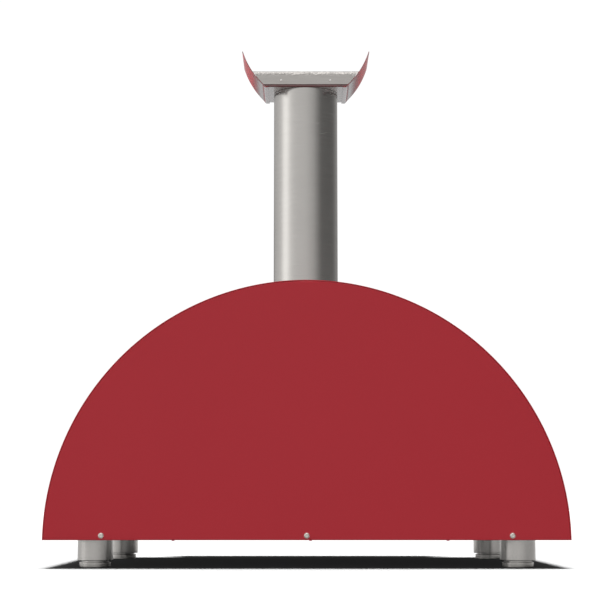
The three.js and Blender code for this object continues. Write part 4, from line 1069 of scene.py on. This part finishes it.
def dial_place(share, radius, centre):
    """A point on the scale: share 0 is the scale's start, at the lower left seen from the front."""
    angle = -DIAL_SWEEP / 2 + share * DIAL_SWEEP
    return Vector((centre.x + radius * math.sin(angle), centre.y, centre.z + radius * math.cos(angle))), angle


def make_thermometer():
    low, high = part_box("thermometer_case")
    dial_low, dial_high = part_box("thermometer_dial")
    centre = Vector(((dial_low.x + dial_high.x) / 2, low.y, frame_joint("thermometer_needle_spin").z))
    radius, depth, lip = high.x, CASE_DEPTH, CASE_DEPTH - CASE_LIP
    back = low.y + depth
    case = [(0, -STEM_LENGTH), (STEM_RADIUS, -STEM_LENGTH, 1.5 * MM), (STEM_RADIUS, 0)]
    case += [(radius, 0, 1 * MM), (radius, depth, 3 * MM), (CASE_INNER - CASE_LIP, depth, 0.8 * MM)]
    case += [(CASE_INNER - CASE_LIP, lip), (CASE_INNER, lip), (CASE_INNER, CASE_FLOOR), (0, CASE_FLOOR)]
    bm = bmesh.new()
    lathe(bm, rounded(case), along_y(0, back, centre.z, -1))
    piece("dial_case", bm, "bright_steel", ["thermometer_case"])

    bm = bmesh.new()
    thick = dial_high.y - dial_low.y
    disc = [(1.5 * MM, 0), (DIAL_RADIUS, 0), (DIAL_RADIUS, thick, 0.4 * MM), (1.5 * MM, thick)]
    lathe(bm, rounded(disc), along_y(0, dial_high.y, centre.z, -1))
    piece("dial_plate", bm, "dial_enamel", ["thermometer_dial"])

    face = dial_low.y
    for kind, every, half_width, length in DIAL_TICKS:
        bm = bmesh.new()
        brick(bm, (-half_width, -INK, -length), (half_width, INK / 2, 0), 0.02 * MM)
        places = []
        for i in range(0, DIAL_MARKS, every):
            where, angle = dial_place(i / (DIAL_MARKS - 1), TICK_RADIUS, centre)
            places.append(((where.x, face, where.z), (0, angle, 0)))
        repeated(f"dial_marks_{kind}", bm, places, "dial_ink", ())

    bm = bmesh.new()
    for i, label in enumerate(DIAL_LABELS):
        where, _ = dial_place(i / (len(DIAL_LABELS) - 1), LABEL_RADIUS, centre)
        letters(bm, label, LABEL_HEIGHT, (where.x, face, where.z))
    letters(bm, "°C", UNIT_HEIGHT, (centre.x, face, centre.z - UNIT_DROP))
    piece("dial_numbers", bm, "dial_ink", ())

    bm = bmesh.new()
    low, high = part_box("thermometer_glass")
    thick = high.y - low.y
    pane = [(0, 0), (DIAL_RADIUS, 0, 0.3 * MM), (DIAL_RADIUS, thick, 0.3 * MM), (0, thick)]
    lathe(bm, rounded(pane), along_y(0, high.y, centre.z, -1))
    piece("dial_pane", bm, "dial_glass", ["thermometer_glass"])

    # The needle rests at the scale's start.
    rest = Matrix.Translation((0, 0, centre.z)) @ Matrix.Rotation(-DIAL_SWEEP / 2, 4, "Y")
    above = face - 1 * MM
    bm = bmesh.new()
    blade = [(-0.35 * MM, NEEDLE_TIP), (0.35 * MM, NEEDLE_TIP), (1.5 * MM, 0)]
    blade += [(2.4 * MM, NEEDLE_TAIL, 1.2 * MM), (-2.4 * MM, NEEDLE_TAIL, 1.2 * MM), (-1.5 * MM, 0)]
    prism(bm, rounded(blade), above - 1 * MM, above, edge=0.15 * MM, place=rest)
    hub = rounded([(0, 0), (HUB_RADIUS, 0), (HUB_RADIUS, HUB_DEPTH, 0.7 * MM), (0, HUB_DEPTH)])
    lathe(bm, hub, along_y(0, above, centre.z, -1), SMALL_STEPS)
    shaft = [(0, -SHAFT_DEPTH), (SHAFT_RADIUS, -SHAFT_DEPTH), (SHAFT_RADIUS, 1 * MM), (0, 1 * MM)]
    lathe(bm, shaft, along_y(0, above, centre.z, -1), TINY_STEPS)
    piece("needle_blade", bm, "black_steel", ["thermometer_needle"], "needle")


def letters(bm, text, height, where):
    """Printed text on the dial, centred at a place and read from the front."""
    font = bpy.data.curves.new("print", "FONT")
    font.body = text
    font.size = height
    font.align_x = "CENTER"
    font.align_y = "CENTER"
    font.extrude = INK_HEIGHT
    shape = bpy.data.objects.new("print", font)
    bpy.context.scene.collection.objects.link(shape)
    bpy.context.view_layer.update()
    depsgraph = bpy.context.evaluated_depsgraph_get()
    mesh = bpy.data.meshes.new_from_object(shape.evaluated_get(depsgraph))
    mesh.transform(Matrix.Translation(where) @ Matrix.Rotation(math.pi / 2, 4, "X"))
    bm.from_mesh(mesh)
    bpy.data.objects.remove(shape)


# ---- Flue ----

COLLAR_WALL = 2 * MM


def make_flue():
    low, high = FLUE_LOW, FLUE_HIGH
    inner = FLUE_RADIUS - FLUE_WALL
    tube = [(inner, low.z), (FLUE_RADIUS, low.z, EDGE), (FLUE_RADIUS, high.z, EDGE), (inner, high.z)]
    bm = bmesh.new()
    lathe(bm, rounded(tube, 2), FLUE_LINE, FLUE_STEPS)
    # The tube's welded seam, ground nearly flush, down its front side.
    seam = [(-1.6 * MM, 0), (1.6 * MM, 0), (0.8 * MM, 0.25 * MM), (-0.8 * MM, 0.25 * MM)]
    front_side = Matrix.Translation((0, FLUE_Y - FLUE_RADIUS + 0.05 * MM, 0))
    lying = front_side @ Matrix.Rotation(math.pi / 2, 4, "X")
    prism(bm, seam, low.z + 1 * MM, high.z - 1 * MM, edge=0.05 * MM, place=lying)
    piece("flue_tube", bm, "brushed_tube", ["flue_pipe"])

    low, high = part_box("flue_collar")
    hole = FLUE_RADIUS + FLUE_CLEAR
    wall = COLLAR_WALL
    skin = BODY_RADIUS + GAP
    # Radius, then height above the barrel there, or None for the sleeve's level top.
    section = [(hole, 0), (high.x, 0), (high.x - 0.4 * MM, wall), (hole + wall + 5 * MM, wall)]
    section += [(hole + wall + 2.2 * MM, wall + 0.8 * MM), (hole + wall + 0.6 * MM, wall + 2.8 * MM)]
    section += [(hole + wall, wall + 6 * MM), (hole + wall, None), (hole, None)]
    bm = bmesh.new()
    rings = []
    for radius, rise in section:
        ring = []
        for i in range(FLUE_STEPS):
            turn = 2 * math.pi * i / FLUE_STEPS
            x, y = radius * math.cos(turn), radius * math.sin(turn)
            on_barrel = BODY_CENTRE + math.sqrt(skin**2 - x**2)
            z = high.z if rise is None else on_barrel + rise
            ring.append(bm.verts.new((x, FLUE_Y + y, z)))
        rings.append(ring)
    for first, second in zip(rings, rings[1:] + rings[:1]):
        for i in range(FLUE_STEPS):
            j = (i + 1) % FLUE_STEPS
            bm.faces.new((first[i], first[j], second[j], second[i]))
    piece("collar_saddle", bm, "brushed_steel", ["flue_collar"])


# ---- Cap ----

CAP_WALL = 1.5 * MM
WING_CHORD_RADIUS = 182 * MM
WING_SPAN = 49.5 * MM  # how far out the blade's tip is from the crease
WING_RISE = 78 * MM
WING_STEPS = 28
WING_FLANGE = 8 * MM
TRIM_STEP = 4 * MM
TRIM_EDGE = 0.02 * MM
TRAY_CLEAR = 0.6 * MM  # what the trimmed tray leaves free inside the wings
HOOD_CLEAR = 0.8 * MM
TRAY_BEND = 1.5 * MM
HOOD_BEND = 9 * MM
TRAY_OVERHANG = 30 * MM  # how far the tray's sheet runs past the creases before it is trimmed
CAP_DEPTH = 2 * (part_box("cap_wing_right")[1].y - FLUE_Y)
CREASE = FLUE_RADIUS + 19 * MM  # where each wing leaves the flat bottom
CAP_BOTTOM = FLUE_HIGH.z


def wing_centre():
    """The centre of the right wing's arc, from its two ends and its radius."""
    span, rise = WING_SPAN, WING_RISE
    chord = math.hypot(span, rise)
    reach = math.sqrt(WING_CHORD_RADIUS**2 - (chord / 2) ** 2)
    return Vector((CREASE + span / 2 - reach * rise / chord, CAP_BOTTOM + rise / 2 + reach * span / chord))


WING_CENTRE = wing_centre()


def wing_inner(z):
    """How far out the wing's inner face is at a height."""
    radius = WING_CHORD_RADIUS - CAP_WALL
    return WING_CENTRE.x + math.sqrt(radius**2 - (z - WING_CENTRE.y) ** 2)


def wing_outline():
    """The right wing's section: a flange under the flat bottom, a tight bend and a blade that curves up."""
    start = math.atan2(CAP_BOTTOM - WING_CENTRE.y, CREASE - WING_CENTRE.x)
    end = math.atan2(CAP_BOTTOM + WING_RISE - WING_CENTRE.y, CREASE + WING_SPAN - WING_CENTRE.x)
    inner_start = math.asin((CAP_BOTTOM - WING_CENTRE.y) / (WING_CHORD_RADIUS - CAP_WALL))
    outer = arc(WING_CENTRE, WING_CHORD_RADIUS, start, end, WING_STEPS)
    inner = arc(WING_CENTRE, WING_CHORD_RADIUS - CAP_WALL, end, inner_start, WING_STEPS)
    flange = [(CREASE - WING_FLANGE, CAP_BOTTOM), (CREASE - WING_FLANGE, CAP_BOTTOM - CAP_WALL)]
    return rounded(flange + [(CREASE + 0.4 * MM, CAP_BOTTOM - CAP_WALL, 5 * MM)] + outer[2:] + inner)


def wing_trim(sign, base, clearance):
    """A tool that takes off what lies beyond a wing's inner face."""
    heights = [base + i * TRIM_STEP for i in range(-1, 9)]
    edge = [(sign * (wing_inner(z) - clearance), z) for z in heights]
    beyond = [(sign * 2 * TOOL_REACH, heights[-1]), (sign * 2 * TOOL_REACH, heights[0])]
    tool = bmesh.new()
    prism(tool, (edge + beyond)[::sign], FLUE_Y - TOOL_REACH, FLUE_Y + TOOL_REACH, edge=TRIM_EDGE)
    return tool


def make_wings():
    wings = []
    for side, sign in (("right", 1), ("left", -1)):
        outline = [(sign * x, z) for x, z in wing_outline()]
        bm = bmesh.new()
        prism(bm, outline[::sign], FLUE_Y - CAP_DEPTH / 2, FLUE_Y + CAP_DEPTH / 2)
        wings.append(piece("wing_" + side, bm, "wing_paint", ["cap_wing_" + side]))
    return wings


def make_tray():
    """The flat bottom, with its two upstands and the spigot that drops into the flue."""
    low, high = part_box("cap_base_plate")
    floor = CAP_BOTTOM + GAP
    path = [(-high.y, high.z), (-high.y, floor), (-low.y, floor), (-low.y, high.z)]
    reach = CREASE + TRAY_OVERHANG
    bm = bmesh.new()
    prism(bm, folded(path, CAP_WALL, TRAY_BEND), -reach, reach, place=SIDEWAYS)
    outer = FLUE_RADIUS - FLUE_WALL - GAP
    inner = outer - CAP_WALL
    tools = [flue_bore(inner, CAP_BOTTOM - TOOL_REACH, CAP_BOTTOM + TOOL_REACH)]
    tools += [wing_trim(1, CAP_BOTTOM, TRAY_CLEAR), wing_trim(-1, CAP_BOTTOM, TRAY_CLEAR)]
    piece("cap_tray", bm, "tray_paint", ["cap_base_plate"], tools=tools)

    bm = bmesh.new()
    lathe(bm, [(inner, low.z), (outer, low.z), (outer, floor), (inner, floor)], FLUE_LINE)
    piece("cap_spigot", bm, "bright_steel", ())


def make_hood():
    """One sheet rolled over at both long edges, trimmed to the wings, with its lid cut back for the smoke."""
    low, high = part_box("cap_hood")
    path = [(-high.y, low.z), (-high.y, high.z), (-low.y, high.z), (-low.y, low.z)]
    bm = bmesh.new()
    prism(bm, folded(path, -CAP_WALL, HOOD_BEND - CAP_WALL), low.x, high.x, place=SIDEWAYS)
    tools = []
    for sign in (-1, 1):
        tools.append(wing_trim(sign, low.z, HOOD_CLEAR))
        outlet = bmesh.new()
        ends = sorted((sign * CREASE, sign * 2 * TOOL_REACH))
        brick(outlet, (ends[0], low.y + HOOD_BEND, low.z), (ends[1], high.y - HOOD_BEND, high.z + 5 * MM))
        tools.append(outlet)
    piece("hood_sheet", bm, "hood_steel", ["cap_hood"], tools=tools)


def make_cap_rivets():
    front = ["cap_rivet_front_left", "cap_rivet_front_right"]
    rear = ["cap_rivet_rear_left", "cap_rivet_rear_right"]
    places = heads_at(front, FLUE_Y - CAP_DEPTH / 2, -1) + heads_at(rear, FLUE_Y + CAP_DEPTH / 2, 1)
    shank = [(0, -4.8 * MM), (2 * MM, -4.8 * MM, 0.5 * MM), (2 * MM, -3.6 * MM), (1.3 * MM, -3.6 * MM)]
    dome = [(1.3 * MM, 0), (2.3 * MM, 0), (2.1 * MM, 0.8 * MM, 0.5 * MM), (0, 1.3 * MM)]
    bm = bmesh.new()
    lathe(bm, rounded(shank + dome), steps=36)
    repeated("cap_rivets", bm, places, "rivet_metal", front + rear)


# ---- Stage ----

FLOOR_SIZE = 60
FLOOR_BACK = (-2.0, -1.0)  # between these two Ys its two reflections blend
FLOOR_ALBEDO = 0.06  # low, under a strong overhead lamp, so that the shadow under the body is deep
FLOOR_DIFFUSE = 0.003  # what matt surfaces see of the floor
FLOOR_GLOSSY = 0.056  # what reflections see of the floor ahead of the oven
FLOOR_DULL = 0.034  # what reflections see of it elsewhere
FLOOR_LAMP = 60.0
FLOOR_GLOW = 0.012  # keeps the shadow from going black
OVERHEAD_SPREAD = math.radians(30)
CAP_LAMPS = ((1, 5.2), (-1, 3.9))  # from each side, at the cap's wings only
CAP_LAMP_SPREAD = math.radians(40)
CAP_LAMP_TILT = math.radians(100)
WALL_ABOVE = 1.15  # the studio above the walls
PANEL_GLOW = 2.6
BACKDROP = 1.03  # what the camera sees behind the oven: just past white
WALLS = [(0.00, 0.55), (0.10, 0.36), (0.17, 0.17), (0.20, 0.13), (0.34, 0.12), (0.38, 0.28), (0.42, 0.52)]
WALLS += [(0.50, 0.74), (0.60, 0.80), (0.655, 0.98), (0.70, 1.6), (0.735, 1.55), (0.775, 0.88), (0.88, 0.60)]
HORIZON = [(0.0, 1.2), (0.18, 0.85), (0.26, 0.80), (0.38, 0.72), (0.47, 0.28), (0.62, 0.24)]
HORIZON += [(0.69, 0.34), (0.9, 0.5)]


def make_world():
    """White to the camera; a studio with a bright left wall and a dark right one to everything else."""
    world = bpy.data.worlds.new("studio")
    bpy.context.scene.world = world
    world.use_nodes = True
    tree = world.node_tree
    tree.nodes.clear()
    direction = add(tree, "ShaderNodeTexCoord").outputs["Generated"]
    split = add(tree, "ShaderNodeSeparateXYZ", None, {"Vector": direction})
    # The bearing runs from 0 at the front, through 0.5 behind the camera; 0.25 is the camera's right wall.
    sides = {0: split.outputs["X"], 1: split.outputs["Y"]}
    angle = add(tree, "ShaderNodeMath", {"operation": "ARCTAN2"}, sides)
    turn = {"Value": angle, "From Min": -math.pi, "From Max": math.pi}
    bearing = add(tree, "ShaderNodeMapRange", None, turn)
    walls = add(tree, "ShaderNodeValToRGB", grey_stops(*WALLS), {"Fac": bearing})
    # Ahead, a dark horizon with a bright wall above it: what the underside of the cap reflects.
    low_part = {"Value": split.outputs["Z"], "From Min": -0.1, "From Max": 0.3}
    height = add(tree, "ShaderNodeMapRange", None, low_part)
    horizon = add(tree, "ShaderNodeValToRGB", grey_stops(*HORIZON), {"Fac": height})
    front = grey_stops((0.0, 1.0), (0.06, 1.0), (0.10, 0.0), (0.90, 0.0), (0.94, 1.0))
    ahead = add(tree, "ShaderNodeValToRGB", front, {"Fac": bearing})
    room = add(tree, "ShaderNodeMix", MIX, {0: ahead, 6: walls, 7: horizon})
    high_part = {"Value": split.outputs["Z"], "From Min": 0.3, "From Max": 0.9}
    up = add(tree, "ShaderNodeMapRange", None, high_part)
    plain = add(tree, "ShaderNodeMix", MIX, {0: up, 6: room, 7: grey(WALL_ABOVE)})
    # A bright panel up behind the camera, which the roll of the hood and the screw heads catch.
    wide = grey_stops((0.40, 0.0), (0.44, 1.0), (0.56, 1.0), (0.60, 0.0))
    across = add(tree, "ShaderNodeValToRGB", wide, {"Fac": bearing})
    tall = add(tree, "ShaderNodeValToRGB", grey_stops((0.62, 0.0), (0.80, 1.0)), {"Fac": split.outputs["Z"]})
    panel = add(tree, "ShaderNodeMath", {"operation": "MULTIPLY"}, {0: across, 1: tall})
    sky = add(tree, "ShaderNodeMix", MIX, {0: panel, 6: plain, 7: grey(PANEL_GLOW)})
    camera_ray = add(tree, "ShaderNodeLightPath").outputs["Is Camera Ray"]
    colour = add(tree, "ShaderNodeMix", MIX, {0: camera_ray, 6: sky, 7: grey(BACKDROP)})
    back = add(tree, "ShaderNodeBackground", None, {"Color": colour, "Strength": 1.0})
    add(tree, "ShaderNodeOutputWorld", None, {"Surface": back})


def make_floor():
    bpy.ops.mesh.primitive_plane_add(size=FLOOR_SIZE)
    floor = bpy.context.active_object
    floor.name = "floor"
    material = bpy.data.materials.new("studio_floor")
    material.use_nodes = True
    tree = material.node_tree
    tree.nodes.clear()
    ray = add(tree, "ShaderNodeLightPath")
    diffuse, camera = ray.outputs["Is Diffuse Ray"], ray.outputs["Is Camera Ray"]
    where = add(tree, "ShaderNodeNewGeometry").outputs["Position"]
    along = add(tree, "ShaderNodeSeparateXYZ", None, {"Vector": where}).outputs["Y"]
    blend = {"Value": along, "From Min": FLOOR_BACK[0], "From Max": FLOOR_BACK[1]}
    back = add(tree, "ShaderNodeMapRange", None, blend)
    glossy = add(tree, "ShaderNodeMix", MIX, {0: back, 6: grey(FLOOR_GLOSSY), 7: grey(FLOOR_DULL)})
    unseen = add(tree, "ShaderNodeMix", MIX, {0: diffuse, 6: glossy, 7: grey(FLOOR_DIFFUSE)})
    colour = add(tree, "ShaderNodeMix", MIX, {0: camera, 6: unseen, 7: grey(FLOOR_ALBEDO)})
    matt = add(tree, "ShaderNodeBsdfDiffuse", None, {"Color": colour})
    amount = add(tree, "ShaderNodeMath", {"operation": "MULTIPLY"}, {0: camera, 1: FLOOR_GLOW})
    glow = add(tree, "ShaderNodeEmission", None, {"Strength": amount})
    both = add(tree, "ShaderNodeAddShader", None, {0: matt, 1: glow})
    add(tree, "ShaderNodeOutputMaterial", None, {"Surface": both})
    floor.data.materials.append(material)
    return floor


def make_lamp(name, energy, spread, turn, receivers):
    """A distant lamp that lights only the receivers."""
    data = bpy.data.lights.new(name, "SUN")
    data.energy = energy
    data.angle = spread
    lamp = bpy.data.objects.new(name, data)
    lamp.rotation_euler = turn
    bpy.context.scene.collection.objects.link(lamp)
    lit = bpy.data.collections.new(name + "_receivers")
    for obj in receivers:
        lit.objects.link(obj)
    lamp.light_linking.receiver_collection = lit


make_camera()
make_world()
make_lamp("overhead", FLOOR_LAMP, OVERHEAD_SPREAD, (0, 0, 0), [make_floor()])
bpy.context.scene.view_settings.view_transform = "Standard"

for subpart in frame["record"]["subparts"]:
    node = frame["nodes"][subpart["node"]]
    node.data.materials.clear()
    node.data.materials.append(FINISHES[subpart["material_slot"]])

make_shell()
make_rear_panel()
make_front_panel()
make_screws()
make_shelf()
make_feet()
make_chamber()
make_guard()
make_door()
make_hinges()
make_thermometer()
make_flue()
wings = make_wings()
make_tray()
make_hood()
make_cap_rivets()
for sign, energy in CAP_LAMPS:
    make_lamp(f"side_{sign}", energy, CAP_LAMP_SPREAD, (0, sign * CAP_LAMP_TILT, 0), wings)
